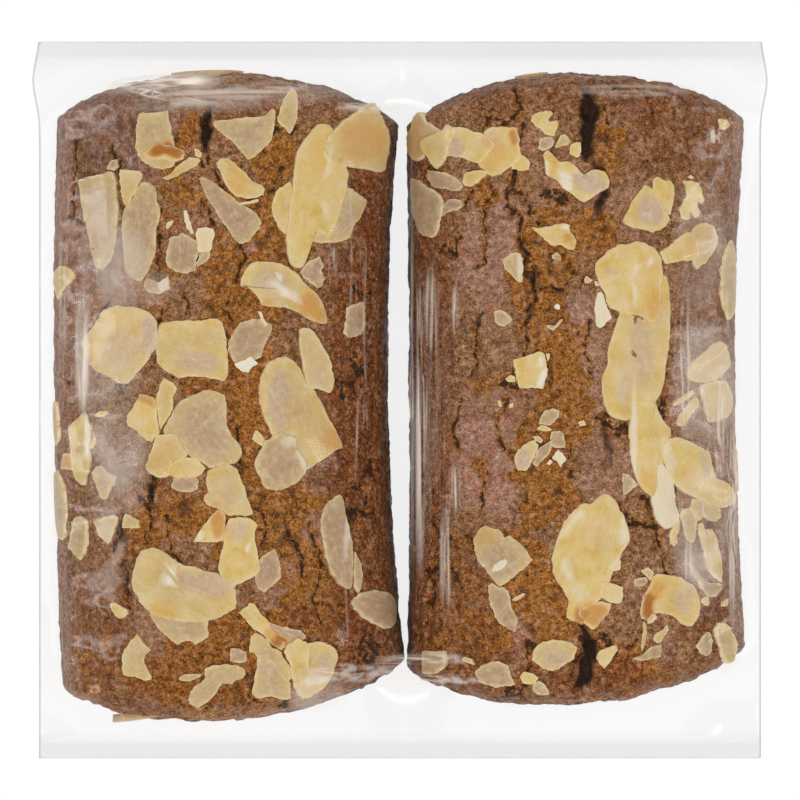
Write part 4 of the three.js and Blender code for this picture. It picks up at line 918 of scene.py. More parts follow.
    (-0.2, 1, [601, 580, 608, 582, 614, 584, 621, 586, 621, 595, 620, 602, 612, 602, 606, 600, 600, 596, 598,
        590, 599, 584]),
    (-0.3, 1, [606, 566, 611, 561, 617, 556, 619, 562, 618, 569, 611, 570]),
    (0, 1, [577, 611, 582, 606, 590, 602, 600, 600, 610, 602, 608, 609, 603, 617, 598, 623, 593, 628, 586, 624,
        580, 618]),
    (0.6, 0, [481, 526, 486, 525, 490, 527, 499, 528, 502, 532, 504, 538, 509, 534, 513, 538, 518, 541, 524,
        547, 530, 555, 532, 559, 526, 566, 519, 570, 512, 577, 505, 582, 501, 585, 498, 586, 491, 577, 484, 568,
        478, 560, 474, 551, 473, 543, 472, 538, 476, 533]),
    (-0.8, 0.8, [492, 571, 494, 564, 500, 560, 506, 558, 508, 561, 504, 567, 498, 571]),
    (0.9, 0, [488, 585, 492, 582, 498, 586, 503, 586, 508, 590, 509, 598, 511, 607, 515, 613, 517, 620, 516,
        627, 514, 630, 508, 628, 500, 622, 495, 615, 491, 605, 489, 597]),
    (0.3, 0, [511, 599, 516, 595, 523, 592, 525, 593, 521, 597, 515, 600]),
    (0.3, 0.4, [514, 457, 518, 449, 524, 445, 530, 440, 534, 440, 537, 445, 536, 452, 533, 458, 530, 464, 527,
        469, 518, 470, 515, 463]),
    (0.9, 0, [537, 450, 542, 445, 550, 441, 551, 448, 547, 455, 542, 460, 536, 466, 531, 464, 534, 458]),
    (0.8, 0, [538, 424, 540, 416, 544, 411, 552, 408, 558, 411, 557, 417, 553, 422, 548, 425, 541, 424]),
    (0, 0.6, [536, 429, 540, 425, 546, 426, 551, 429, 549, 431, 543, 431, 538, 430]),
    (1, 0, [550, 432, 558, 430, 563, 434, 564, 441, 565, 448, 556, 448, 550, 446, 549, 438]),
    (-0.7, 0, [551, 458, 554, 453, 557, 449, 562, 453, 566, 459, 562, 463, 560, 467, 556, 461]),
    (-0.6, 0, [546, 463, 549, 459, 552, 461, 549, 465]),
    (0.5, 0, [532, 436, 538, 436, 542, 440, 540, 443, 535, 441]),
    (0, 0, [498, 400, 501, 401, 502, 406, 500, 407, 498, 403]),
    (0, 0, [509, 404, 513, 403, 513, 407, 509, 408]),
    (0, 0, [577, 422, 583, 420, 585, 425, 579, 426]),
    (0.4, 0, [532, 652, 536, 645, 542, 640, 552, 638, 562, 639, 571, 642, 577, 646, 574, 652, 574, 658, 569,
        660, 563, 663, 559, 668, 552, 670, 544, 668, 536, 663, 531, 658]),
    (0.8, 0, [475, 672, 482, 664, 492, 660, 502, 660, 508, 664, 510, 672, 513, 679, 515, 684, 504, 685, 494,
        686, 486, 683, 480, 680]),
    (0.1, 0.5, [520, 675, 524, 670, 532, 672, 538, 676, 535, 682, 528, 683, 522, 682]),
    (0.8, 0, [532, 684, 538, 679, 543, 682, 548, 689, 548, 693, 538, 693, 533, 690]),
    (0.8, 0, [424, 650, 446, 650, 447, 665, 438, 673, 425, 672]),
    (0.2, 0, [462, 657, 466, 655, 472, 658, 475, 664, 470, 662, 464, 660]),
    (0.1, 1, [657, 253, 663, 249, 669, 245, 674, 240, 681, 234, 688, 232, 692, 236, 694, 244, 696, 255, 693,
        258, 690, 260, 680, 261, 670, 264, 662, 264, 658, 257]),
    (0.4, 0, [690, 229, 696, 225, 703, 223, 708, 226, 712, 231, 714, 240, 712, 247, 708, 254, 705, 258, 702,
        264, 697, 267, 694, 271, 690, 262, 688, 250, 688, 238]),
    (0.2, 0, [686, 370, 690, 362, 697, 357, 705, 350, 712, 343, 717, 341, 723, 344, 725, 352, 727, 360, 727,
        367, 721, 373, 714, 380, 706, 382, 697, 382, 690, 381, 686, 378]),
    (0.2, 0, [701, 385, 706, 382, 718, 380, 724, 383, 729, 389, 733, 397, 734, 405, 731, 412, 726, 417, 718,
        420, 708, 422, 706, 414, 703, 400]),
    (0.1, 0, [671, 404, 675, 400, 684, 394, 690, 390, 692, 393, 688, 398, 680, 403, 673, 406]),
    (0.2, 0, [674, 424, 678, 415, 683, 407, 689, 401, 694, 396, 696, 400, 697, 406, 691, 413, 686, 420, 681,
        426, 676, 426]),
    (0.2, 0, [680, 182, 686, 182, 690, 182, 694, 183, 697, 189, 698, 194, 701, 199, 700, 205, 697, 203, 695,
        201, 694, 207, 697, 212, 696, 217, 693, 219, 690, 215, 688, 212, 687, 216, 687, 220, 682, 220, 678, 217,
        676, 210, 680, 206, 682, 200, 684, 195, 683, 188]),
    (-0.3, 0, [685, 178, 688, 176, 691, 179, 688, 180]),
    (0.3, 0, [716, 120, 723, 120, 727, 126, 722, 131, 718, 130]),
]
# Flakes on the flanks, seen on edge: [x, y, length, width, degrees, shape, layer, toast, tone] in millimetres
leftFlank = [
    [-61.2, -18.9, 12.6, 3.2, 92, "oval", 0, 0, 0.6], [-60.8, 21.1, 6.1, 3.4, 75, "fan", 0, 0.3, 0.4],
    [-61.6, -4.2, 8, 1.6, 90, "oval", 0, 0.3, 0.6],
]
rightFlank = [
    [59, 21.6, 14.4, 2.9, 90, "oval", 0, 0, 0.5], [60.5, -12.6, 7.6, 1.2, 90, "sliver", 0, 0, 0.4],
]
# Flakes caught on the end faces, as in the part's source: [x, height, length, width, end]
leftFaceFlakes = [[-34.6, 17, 13, 7, 1], [-46.9, 15, 9.6, 6, -1]]
rightFaceFlakes = [[23.6, 16, 6, 6, 1]]
# Painted on whatever flake lies there: [x, y, half length, half width, degrees, strength], steps as above
toastedAt = [
    [166, 151, 22, 9, 0, 1], [240, 186, 22, 12, 40, 0.55], [498, 150, 12, 14, 0, 0.5],
    [580, 615, 10, 12, 0, 0.9], [310, 305, 14, 16, -50, 0.7], [322, 317, 8, 10, 0, 0.75],
    [333, 440, 16, 15, -60, 0.65], [259, 395, 30, 3, 90, 0.55], [152, 400, 11, 8, -20, 0.75],
    [212, 324, 13, 5, 0, 0.4], [165, 455, 24, 17, 40, 0.35], [220, 522, 10, 20, 0, 0.75],
    [165, 610, 16, 6, -20, 0.55], [279, 641, 9, 8, 0, 1], [270, 632, 8, 8, 0, 0.6],
    [358, 142, 26, 22, 40, 0.55], [317, 158, 9, 26, 0, 0.35], [68, 462, 9, 9, 0, 0.7],
    [303, 420, 20, 34, 20, 0.2], [414, 140, 12, 22, 0, 0.5], [513, 137, 7, 10, 0, 0.85],
    [490, 145, 9, 7, 0, 0.5], [571, 240, 9, 7, 30, 0.75], [652, 306, 10, 18, 0, 0.55],
    [647, 270, 12, 22, 0, 0.3], [643, 475, 8, 12, 0, 0.45], [645, 604, 9, 17, 0, 1.15],
    [656, 588, 9, 14, 0, 0.6], [592, 613, 20, 14, 0, 0.75], [484, 536, 14, 11, 0, 0.5],
    [688, 243, 10, 14, 0, 0.5], [440, 205, 4, 14, 0, 0.4], [700, 229, 9, 5, 0, 0.4],
]
# Where the waxy grey heart shows; the patches at 150, 335 and at 640, 350 are painted shade
greyAt = [
    [279, 400, 12, 32, 0, 1], [208, 582, 32, 12, -10, 0.7], [240, 530, 13, 12, 0, 0.7],
    [208, 432, 20, 26, 10, 1.3], [150, 335, 9, 20, 0, 1.1], [125, 350, 20, 22, 0, 0.45],
    [197, 362, 24, 12, 0, 0.6], [98, 215, 8, 30, 0, 0.4], [335, 550, 9, 34, 0, 0.6], [281, 470, 15, 16, 0, 0.9],
    [268, 448, 6, 9, 0, 0.5], [322, 662, 10, 14, 0, 0.5], [268, 666, 12, 7, 0, 0.6], [229, 494, 6, 18, 0, 0.4],
    [458, 149, 7, 11, 0, 1.2], [492, 138, 7, 9, 0, 0.8], [648, 213, 15, 14, 0, 0.8], [608, 271, 5, 5, 0, 0.8],
    [640, 350, 13, 42, 0, 0.55], [588, 184, 16, 11, 0, 1.1], [700, 372, 12, 9, 0, 0.4],
    [703, 466, 5, 20, 10, 0.7], [602, 530, 22, 30, 0, 0.25], [500, 562, 18, 15, 0, 0.8],
    [682, 600, 9, 18, 0, 0.6], [522, 458, 7, 11, 0, 0.8], [555, 658, 12, 9, 0, 0.6], [270, 280, 20, 12, 0, 0.5],
    [320, 380, 8, 26, 0, 0.35], [240, 142, 20, 10, 0, 0.4], [345, 215, 10, 14, 0, 0.4],
    [622, 390, 7, 22, 0, 0.5],
]
# Pale: white spots, and painted highlights, which are glints along ridges and a glare band from the film
paleAndGlintAt = [
    [284, 291, 14, 5, -35, 0.9], [280, 277, 3, 2, 0, 0.9], [90, 436, 2.5, 26, 0, 0.9],
    [170, 577, 14, 4, 62, 1.2], [249, 546, 2, 6, 0, 0.9], [302, 462, 3, 14, 25, 0.6], [289, 441, 8, 5, 0, 0.5],
    [567, 575, 3, 24, 20, 0.6], [623, 530, 4, 24, 0, 0.6], [570, 523, 3, 22, -40, 0.6],
    [620, 253, 3, 2, 0, 0.9], [648, 261, 2, 4, 0, 0.9], [633, 287, 3, 24, 0, 0.55], [315, 679, 16, 4, 10, 0.9],
    [541, 379, 4, 12, -20, 1], [325, 185, 2, 44, -4, 0.55], [519, 268, 3, 14, 0, 0.6],
    [565, 182, 6, 12, 20, 0.9], [546, 170, 3, 10, 0, 0.6], [540, 362, 3, 6, 0, 0.9], [632, 440, 3, 55, 0, 0.6],
    [665, 455, 5, 22, 15, 0.5], [565, 228, 5, 3, 0, 0.7], [200, 534, 5, 6, 30, 0.8],
    [345, 530, 3, 36, -8, 0.55], [107, 530, 10, 12, 0, 0.3], [716, 398, 2, 18, 0, 0.6],
    [165, 285, 6, 8, 0, 0.7],
]


def flakeOutline(shapeName, length, width, seed):
    # ellipse with a pointed tip, pulled in to its straight cuts, bent, nicked, and fitted to length by width
    tip, bend, cuts = flakeShapes[shapeName]
    turn = np.linspace(0, 2 * np.pi, flakeValues["sides"], endpoint=False)
    rim = np.stack([np.cos(turn), np.sin(turn) * (1 - tip * np.maximum(0, np.cos(turn)) ** 1.5)], -1)
    for degrees, distance in cuts:
        reach = rim @ np.array([np.cos(np.radians(degrees)), np.sin(np.radians(degrees))])
        rim *= np.where(reach > distance, distance / np.maximum(reach, 1e-6), 1)[:, None]
    rim[:, 1] -= bend * (1 - rim[:, 0] ** 2)
    nick = flatNoise(turn * 3.3 + seed * 7.1, turn * 0 + seed) + 0.6 * flatNoise(turn * 7 + seed, turn * 0 + 3)
    size = min(1, 4 / max(width, 1))
    rim *= (1 + flakeValues["jag"] * size * 2 * (nick - 0.8))[:, None]
    low, high = rim.min(0), rim.max(0)
    return (rim - (low + high) / 2) * np.array([length, width]) / (high - low)


def tracedOutline(corners, seed):
    # centre, direction of the length, and the outline about them: corners cut once, then even steps round it
    rim = fromPairs(corners)
    rim = np.stack([0.94 * rim + 0.06 * np.roll(rim, 1, 0), 0.94 * rim + 0.06 * np.roll(rim, -1, 0)], 1)
    rim = rim.reshape(-1, 2)
    after = np.roll(rim, -1, 0)
    twist = rim[:, 0] * after[:, 1] - rim[:, 1] * after[:, 0]
    centre = ((rim + after) * twist[:, None]).sum(0) / (3 * twist.sum())
    if twist.sum() < 0:
        rim = rim[::-1]
    rim = rim - centre
    _, axes = np.linalg.eigh(rim.T @ rim)
    turn = np.arctan2(axes[1, 1], axes[0, 1])
    rim = rim @ np.array([[np.cos(turn), -np.sin(turn)], [np.sin(turn), np.cos(turn)]])
    closed = np.concatenate([rim, rim[:1]])
    walked = np.concatenate([[0], np.cumsum(np.linalg.norm(np.diff(closed, axis=0), axis=1))])
    at = np.linspace(0, walked[-1], flakeValues["sides"], endpoint=False)
    even = np.stack([np.interp(at, walked, closed[:, 0]), np.interp(at, walked, closed[:, 1])], -1)
    # broken edge: nicks of two sizes, in and out from the middle
    reach = np.linalg.norm(even, axis=1)
    fade = min(1, reach.max() / 3)
    for size, depth in zip(flakeValues["raggedSize"], flakeValues["raggedDepth"]):
        nick = flatNoise(at / size + 7.3 * seed, at * 0 + seed) - 0.5
        even = even * (1 + fade * depth * nick / reach)[:, None]
    return centre, turn, even


def makeFlakes(name, bar, traced, flank, faces, material):
    # each flake is its outline shrunk ring by ring over a low dome, rounded at the rim and closed beneath
    v = flakeValues
    share, level = np.hsplit(np.array(v["rings"]), 2)
    # the curve from below one waist, over the dome, to below the other
    angles, length, _ = girthTable(bar, 1.3 * np.pi, -0.3 * np.pi)
    toastPatches, greyPatches, paleAndGlintPatches = fromSteps(toastedAt), fromSteps(greyAt), fromSteps(paleAndGlintAt)
    rows = [(*tracedOutline(corners, n), layer, 0, tone, 0) for n, (tone, layer, corners) in enumerate(traced)]
    for x, y, size, width, degrees, shapeName, layer, toast, tone in flank:
        rim = flakeOutline(shapeName, size, width, len(rows) + 1)
        rows.append((np.array([x, y]), np.radians(degrees), rim, layer, toast, tone, 0))
    for x, y, size, width, end in faces:
        rim = flakeOutline("pentagon", size, width, len(rows) + 1)
        rows.append((np.array([x, y]), 0, rim, 0, v["faceToast"], v["faceShadeTone"], end))
    everyPoint, place, rim, toasted, greyed, paled, dusked = [], [], [], [], [], [], []
    for number, (centre, turn, outline, layer, toast, tone, end) in enumerate(rows):
        (x, y), (size, width) = centre, outline.max(0) - outline.min(0)
        flat = np.concatenate([[[0, 0]], (outline[None] * share[..., None]).reshape(-1, 2), [[0, 0]]])
        levels = np.concatenate([[1], (level + 0 * outline[None, :, 0]).ravel(), [0]])
        inward = np.concatenate([[0], (share + 0 * outline[None, :, 0]).ravel(), [0]])
        dx = flat[:, 0] * np.cos(turn) - flat[:, 1] * np.sin(turn)
        dy = flat[:, 0] * np.sin(turn) + flat[:, 1] * np.cos(turn)
        random = np.random.default_rng(number + 11)
        lean, cup, ridge = random.normal(0, v["lean"], 2), random.uniform(*v["cup"]), random.uniform(*v["ridge"])
        fullness = min(1, width / v["fullWidth"])
        top = flat @ lean + cup * (inward ** 2 - 0.5) * fullness
        top = top + ridge * fullness * np.exp(-(flat[:, 1] / (0.12 * width + 0.3)) ** 2) * (1 - inward)
        if end:
            u = (x - dx - centreAt(bar, end)) / halfWidthAt(bar, end)
            lift = np.where(levels > 0, v["rise"] * levels, -v["depth"]) + 0.1 * top
            p = np.stack([x - dx * end, lengthwise(bar, end, u) + end * lift, y + dy], -1)
        else:
            station = stationOf(bar, y, 0)
            if abs(x - centreAt(bar, station)) < v["flankFrom"] * halfWidthAt(bar, station):
                angle = angleUnder(bar, x + dx, y + dy)
            else:
                # on a flank the flake hangs on the curve, and is not stretched down it without limit
                middleAngle = angleUnder(bar, x, y)
                slope = outwardAt(bar, station, middleAngle)[1]
                walked = np.interp(-middleAngle, -angles, length) + dx / max(v["steepest"], slope)
                angle = np.interp(walked, length, angles)
            sunk = crustPoint(bar, angle, y + dy, 0)
            swell = swellAt(*sunk.T)
            lift = v["rise"] + v["layer"] * layer + swell + top
            p = crustPoint(bar, angle, y + dy, -v["depth"] + levels * (lift + v["depth"]))
        everyPoint.append(p)
        place.append(np.stack([flat[:, 0], flat[:, 1], np.full(len(flat), number * 9.7)], -1))
        distance = (1 - inward) * np.hypot(flat[:, 0], flat[:, 1]) / np.maximum(inward, 1e-3)
        distance = np.where(inward > 0, distance, width)
        # the rim mask is partly the paler rim and partly a painted highlight, along the rim and down its side;
        # none on the end faces
        rim.append(0 * levels if end else np.exp(-distance / v["rimWidth"]) + (levels < 0.95))
        wander = flatNoise(flat[:, 0] / 2.5 + number, flat[:, 1] / 2.5) - 0.5
        middle = smoothStep(0.95, 0.4, inward + 0.35 * wander)
        px, py = x + dx + 1.2 * wander, y + dy - 1.2 * wander
        painted = 0 if end else 1
        grey, pale = max(tone, 0) * (0.3 + 0.7 * middle), max(-tone, 0)
        greyed.append(np.clip(grey + painted * patchMask(px, py, greyPatches), 0, 1))
        paled.append(np.clip(pale + painted * patchMask(x + dx, y + dy, paleAndGlintPatches), 0, 1))
        toasted.append(np.clip(toast + painted * patchMask(px, py, toastPatches), 0, 1))
        dusked.append(np.clip(tone + 0.35 * wander, 0, 1) * np.clip(1 - 0.3 * (1 - middle), 0, 1) + 0 * levels)
    sides, ringCount = v["sides"], len(v["rings"])
    each = sides * ringCount + 2
    one = 1 + gridQuads(ringCount, sides)
    fans = closingFans(sides, 1, 1 + (ringCount - 1) * sides, (0, each - 1))
    offsets = np.arange(len(rows))[:, None, None] * each
    quads, triangles = (offsets + one[None]).reshape(-1, 4), (offsets + fans[None]).reshape(-1, 3)
    masks = {"flakePlace": np.concatenate(place), "rim": np.clip(np.concatenate(rim), 0, 1),
             "toast": np.concatenate(toasted), "grey": np.concatenate(greyed), "pale": np.concatenate(paled),
             "dusk": np.concatenate(dusked)}
    return addMesh(name, np.concatenate(everyPoint), quads, triangles, masks, material)


crustMaterial, almondMaterial = makeCrustMaterial(), makeAlmondMaterial()
crustLeft = makeCrust("crustLeft", leftBar, leftCrumb, leftGlazeAndShade, leftMauve, leftCracks, leftLines,
                      crustValues["leftLumps"], crustMaterial)
crustRight = makeCrust("crustRight", rightBar, rightCrumb, rightGlazeAndShade, rightMauve, rightCracks, rightLines,
                       crustValues["rightLumps"], crustMaterial)
almondsLeft = makeFlakes("almondsLeft", leftBar, leftTraced, leftFlank, leftFaceFlakes, almondMaterial)
almondsRight = makeFlakes("almondsRight", rightBar, rightTraced, rightFlank, rightFaceFlakes, almondMaterial)
for piece, node in ((crustLeft, "bar_left"), (crustRight, "bar_right")):
    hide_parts(node)
print("bars made")


# ---- the film: clear flow-wrap film, thin and glossy, with a soft haze, painted highlights and its seals pressed flat

filmValues = {
    "halfWidth": 65.0, "halfLength": 64.5, "earReach": 1.2, "earY": 57.5, "earLength": 5.0,
    "seamHeight": 9.5, "sealBand": 3.0, "stepsAcross": 218, "stepsAlong": 214,
    "clearance": 0.15, "underClearance": 0.14,        # gaps over and under the bars
    "slack": 700,                                     # rounds of tightening
    "sealHalf": 0.05, "sealFade": 0.6,                # half the seal's thickness, and the film's way out of it
    "overFloor": 0.02,                                # the lowest that the film goes
    "upperFrom": 8, "lowerTo": 9,                     # heights of the points that the upper and lower film cover
    "nothing": -50, "spread": 3,                      # height where no bar is, and how far each point's spreads
    "streakReach": 1.4,                               # how far from a crease its shine can reach, in millimetres
}
# Haze, with the film's highlights painted in: soft, brushed along the pack, and brushed across it, traced in
# steps, in the same terms as the toasting
hazeSoft = [
    [84, 350, 7, 70, 0, 0.4], [120, 272, 30, 46, 0, 0.3], [122, 450, 28, 50, 0, 0.3],
    [134, 475, 16, 44, 0, 0.2], [139, 287, 38, 20, 0, 0.2], [318, 695, 30, 18, 0, 0.25],
    [100, 235, 22, 50, 0, 0.2], [110, 380, 32, 150, 0, 0.16], [704, 385, 32, 66, 0, 0.26],
    [700, 535, 30, 66, 0, 0.3], [700, 250, 26, 66, 0, 0.16], [165, 86, 60, 12, 4, 0.4],
    [240, 100, 130, 12, 4, 0.16],
]
hazeAlong = [
    [84, 350, 6, 62, 0, 0.5], [334, 262, 4, 14, 0, 0.5], [420, 425, 5, 138, 0, 0.55],
    [432, 310, 7, 42, 0, 0.45], [455, 312, 4, 24, 0, 0.45], [455, 488, 4, 34, 0, 0.4],
    [446, 555, 6, 56, 0, 0.4], [436, 420, 12, 130, 0, 0.1], [682, 360, 8, 72, 0, 0.4],
    [685, 560, 6, 22, 0, 0.4], [718, 430, 6, 52, 0, 0.45], [731, 510, 6, 112, 0, 0.5], [714, 137, 8, 8, 0, 0.6],
    [411, 350, 4, 210, 0, 0.2], [64, 300, 4, 90, 0, 0.3],
]
hazeAcross = [
    [160, 84, 48, 7, 3, 0.8], [225, 96, 90, 9, 6, 0.35], [370, 108, 34, 5, 0, 0.5], [352, 672, 54, 9, 0, 0.4],
    [425, 658, 48, 5, 0, 0.45], [440, 679, 44, 5, 0, 0.5], [630, 92, 60, 7, 0, 0.25],
]
# Creases that shine white, as painted reflections of the lights: strength, then the points they run through
streaks = [
    (1, [115, 85, 140, 90, 165, 95, 210, 104, 260, 112]), (0.7, [118, 88, 150, 98, 190, 106]),
    (0.6, [340, 107, 400, 109]), (0.6, [84, 290, 82, 350, 85, 410]), (0.8, [420, 290, 418, 400, 421, 560]),
    (0.5, [432, 270, 430, 350]), (0.7, [455, 290, 453, 335]), (0.7, [454, 455, 456, 520]),
    (0.5, [446, 500, 444, 560, 448, 610]), (0.7, [300, 668, 350, 673, 405, 668]),
    (0.7, [380, 656, 430, 658, 470, 660]), (0.6, [400, 678, 440, 680, 480, 681]),
    (0.6, [682, 290, 679, 350, 683, 430]), (0.6, [685, 540, 687, 580]), (0.7, [718, 380, 720, 430, 717, 480]),
    (0.7, [731, 400, 729, 500, 733, 620]), (0.7, [331, 248, 334, 262, 337, 275]), (0.7, [708, 131, 720, 143]),
    (0.3, [350, 180, 352, 260, 350, 330]), (0.3, [366, 250, 364, 330, 367, 420]), (0.3, [358, 400, 356, 480]),
    (0.2, [345, 560, 348, 640]), (0.4, [70, 180, 67, 300]), (0.4, [100, 230, 98, 300]),
    (0.4, [122, 420, 120, 500]), (0.5, [676, 480, 680, 540]), (0.5, [703, 470, 700, 560]),
    (0.4, [725, 250, 727, 340]), (0.5, [412, 290, 410, 400, 413, 520]), (0.5, [87, 320, 89, 380]),
    (0.4, [427, 380, 425, 470]),
]


def makeFilmMaterial():
    material, tree = newMaterial("clearFlowWrapFilm")
    place = addNode(tree, "ShaderNodeTexCoord").outputs["Object"]
    masks = addNodes(tree, "ShaderNodeAttribute", "Fac", {
        key: {"attribute_name": key}
        for key in ("seal", "hazeSoft", "hazeAlong", "hazeAcross", "aside", "shine", "inset")})

    crease = addNode(tree, "ShaderNodeTexNoise", {"Vector": place, "Scale": 60, "Detail": 1, "Roughness": 0.6})
    bump = addNode(tree, "ShaderNodeBump", {
        "Strength": 0.15, "Distance": 0.0006, "Height": crease.outputs["Fac"]}).outputs["Normal"]
    rim = addNode(tree, "ShaderNodeMapRange", {
        "Value": masks["inset"], "From Min": 0.5, "From Max": 0.15, "To Max": 0.7}).outputs[0]
    tint = layColours(tree, "#fcfcfc", [(masks["seal"], "#f6f5f6"), (rim, "#dedede")])
    clear = addNode(tree, "ShaderNodeBsdfTransparent", {"Color": tint}).outputs[0]
    gloss = addNode(tree, "ShaderNodeBsdfGlossy", {
        "Color": "#ffffff", "Roughness": 0.14, "Normal": bump}).outputs[0]
    # a thin film reflects alike from both sides: 4% face on, rising with the fifth power of the slant
    slant = addNode(tree, "ShaderNodeLayerWeight", {"Blend": 0.5, "Normal": bump}).outputs["Facing"]
    steep = addNode(tree, "ShaderNodeMath", {"operation": "POWER", 0: slant, 1: 5.0}).outputs[0]
    mirrored = addNode(tree, "ShaderNodeMath", {
        "operation": "MULTIPLY_ADD", 0: steep, 1: 0.5, 2: 0.04}).outputs[0]
    surface = addNode(tree, "ShaderNodeMixShader", {0: mirrored, 1: clear, 2: gloss}).outputs[0]

    # a white veil, painted on for the haze and the highlights of crinkled film: brushed along or across, and
    # sharp on the creases, as painted reflections of the lights. Each kind is its mask times noise drawn out by
    # its own scales, 0 at the first limit and the most at the second
    off = addNode(tree, "ShaderNodeMath", {"operation": "ABSOLUTE", 0: masks["aside"]}).outputs[0]
    onCrease = addNode(tree, "ShaderNodeMapRange", {"Value": off, "From Min": 0.32, "From Max": 0.06}).outputs[0]
    sharp = addNode(tree, "ShaderNodeMath", {"operation": "MULTIPLY", 0: masks["shine"], 1: onCrease}).outputs[0]
    veil = None
    for operation, mask, scales, start, full, most in (
        (None, masks["hazeAlong"], (1000, 30, 1000), 0.43, 0.62, 1),
        ("MAXIMUM", masks["hazeAcross"], (40, 1000, 1000), 0.36, 0.6, 1),
        ("ADD", masks["hazeSoft"], (120, 60, 120), 0.2, 0.6, 1),
        ("MAXIMUM", sharp, (120, 120, 120), 0.36, 0.56, 0.75),
    ):
        drawn = addNode(tree, "ShaderNodeMapping", {"Vector": place, "Scale": scales}).outputs[0]
        brushed = addNode(tree, "ShaderNodeTexNoise", {
            "Vector": drawn, "Scale": 1.0, "Detail": 1, "Roughness": 0.65}).outputs["Fac"]
        share = addNode(tree, "ShaderNodeMapRange", {
            "Value": brushed, "From Min": start, "From Max": full, "To Max": most}).outputs[0]
        hazeAndShine = addNode(tree, "ShaderNodeMath", {"operation": "MULTIPLY", 0: mask, 1: share}).outputs[0]
        veil = hazeAndShine if veil is None else addNode(tree, "ShaderNodeMath", {
            "operation": operation, "use_clamp": True, 0: veil, 1: hazeAndShine}).outputs[0]
    white = addNode(tree, "ShaderNodeBsdfDiffuse", {"Color": "#fdf0e2"}).outputs[0]
    surface = addNode(tree, "ShaderNodeMixShader", {0: veil, 1: surface, 2: white}).outputs[0]
    addNode(tree, "ShaderNodeOutputMaterial", {"Surface": surface})
    return material


def tighten(start, floor, rounds):
    # a membrane pulled taut over the heights it may not pass: each point goes to the mean of its neighbours
    h = start.copy()
    for _ in range(rounds):
        mean = (h[:-2, 1:-1] + h[2:, 1:-1] + h[1:-1, :-2] + h[1:-1, 2:]) / 4
        h[1:-1, 1:-1] = np.maximum(floor[1:-1, 1:-1], mean)
    return h


def heightsUnder(points, x, y):
    # highest of the given points in each square of the pack's grid
    empty = float(filmValues["nothing"])
    lastRow, lastColumn = x.shape[0] - 1, x.shape[1] - 1
    column = np.clip(np.rint((points[:, 0] - x[0, 0]) / (x[0, -1] - x[0, 0]) * lastColumn), 0, lastColumn)
    row = np.clip(np.rint((points[:, 1] - y[0, 0]) / (y[-1, 0] - y[0, 0]) * lastRow), 0, lastRow)
    spread = np.full(x.shape, empty)
    np.maximum.at(spread, (row.astype(int), column.astype(int)), points[:, 2])
    # spread to the squares round each, then smoothed, so that it follows no crumb and still covers each
    for _ in range(filmValues["spread"]):
        spread = np.max([spread] + [np.roll(spread, step, axis) for axis in (0, 1) for step in (-1, 1)], axis=0)
    sides = np.stack([spread[:-2, 1:-1], spread[2:, 1:-1], spread[1:-1, :-2], spread[1:-1, 2:]])
    spread[1:-1, 1:-1] = np.where(sides.min(0) > empty + 1, sides.mean(0), spread[1:-1, 1:-1])
    return spread


def signedAside(x, y):
    # signed distance from the nearest crease, and its strength, which ends a little way off
    side, shine, nearest = np.full_like(x, 9.0), np.zeros_like(x), np.full_like(x, 9.0)
    for strength, corners in streaks:
        path = fromPairs(corners)
        for k, (a, b) in enumerate(zip(path[:-1], path[1:])):
            share, dx, dy = alongSegment(x, y, a, b)
            away = np.hypot(dx, dy)
            closer = away < nearest
            nearest = np.where(closer, away, nearest)
            leftOf = (b - a)[0] * (y - a[1]) - (b - a)[1] * (x - a[0])
            side = np.where(closer, away * np.where(leftOf < 0, -1, 1), side)
            taper = np.sin(np.pi * np.clip((k + share) / (len(path) - 1), 0.03, 0.97)) ** 0.5
            shine = np.where(closer, strength * taper, shine)
    return side, np.where(nearest < filmValues["streakReach"], shine, 0)


def pointsOf(piece):
    # vertices in millimetres
    flat = np.empty(len(piece.data.vertices) * 3, np.float32)
    piece.data.vertices.foreach_get("co", flat)
    return flat.reshape(-1, 3).astype(float) * 1000


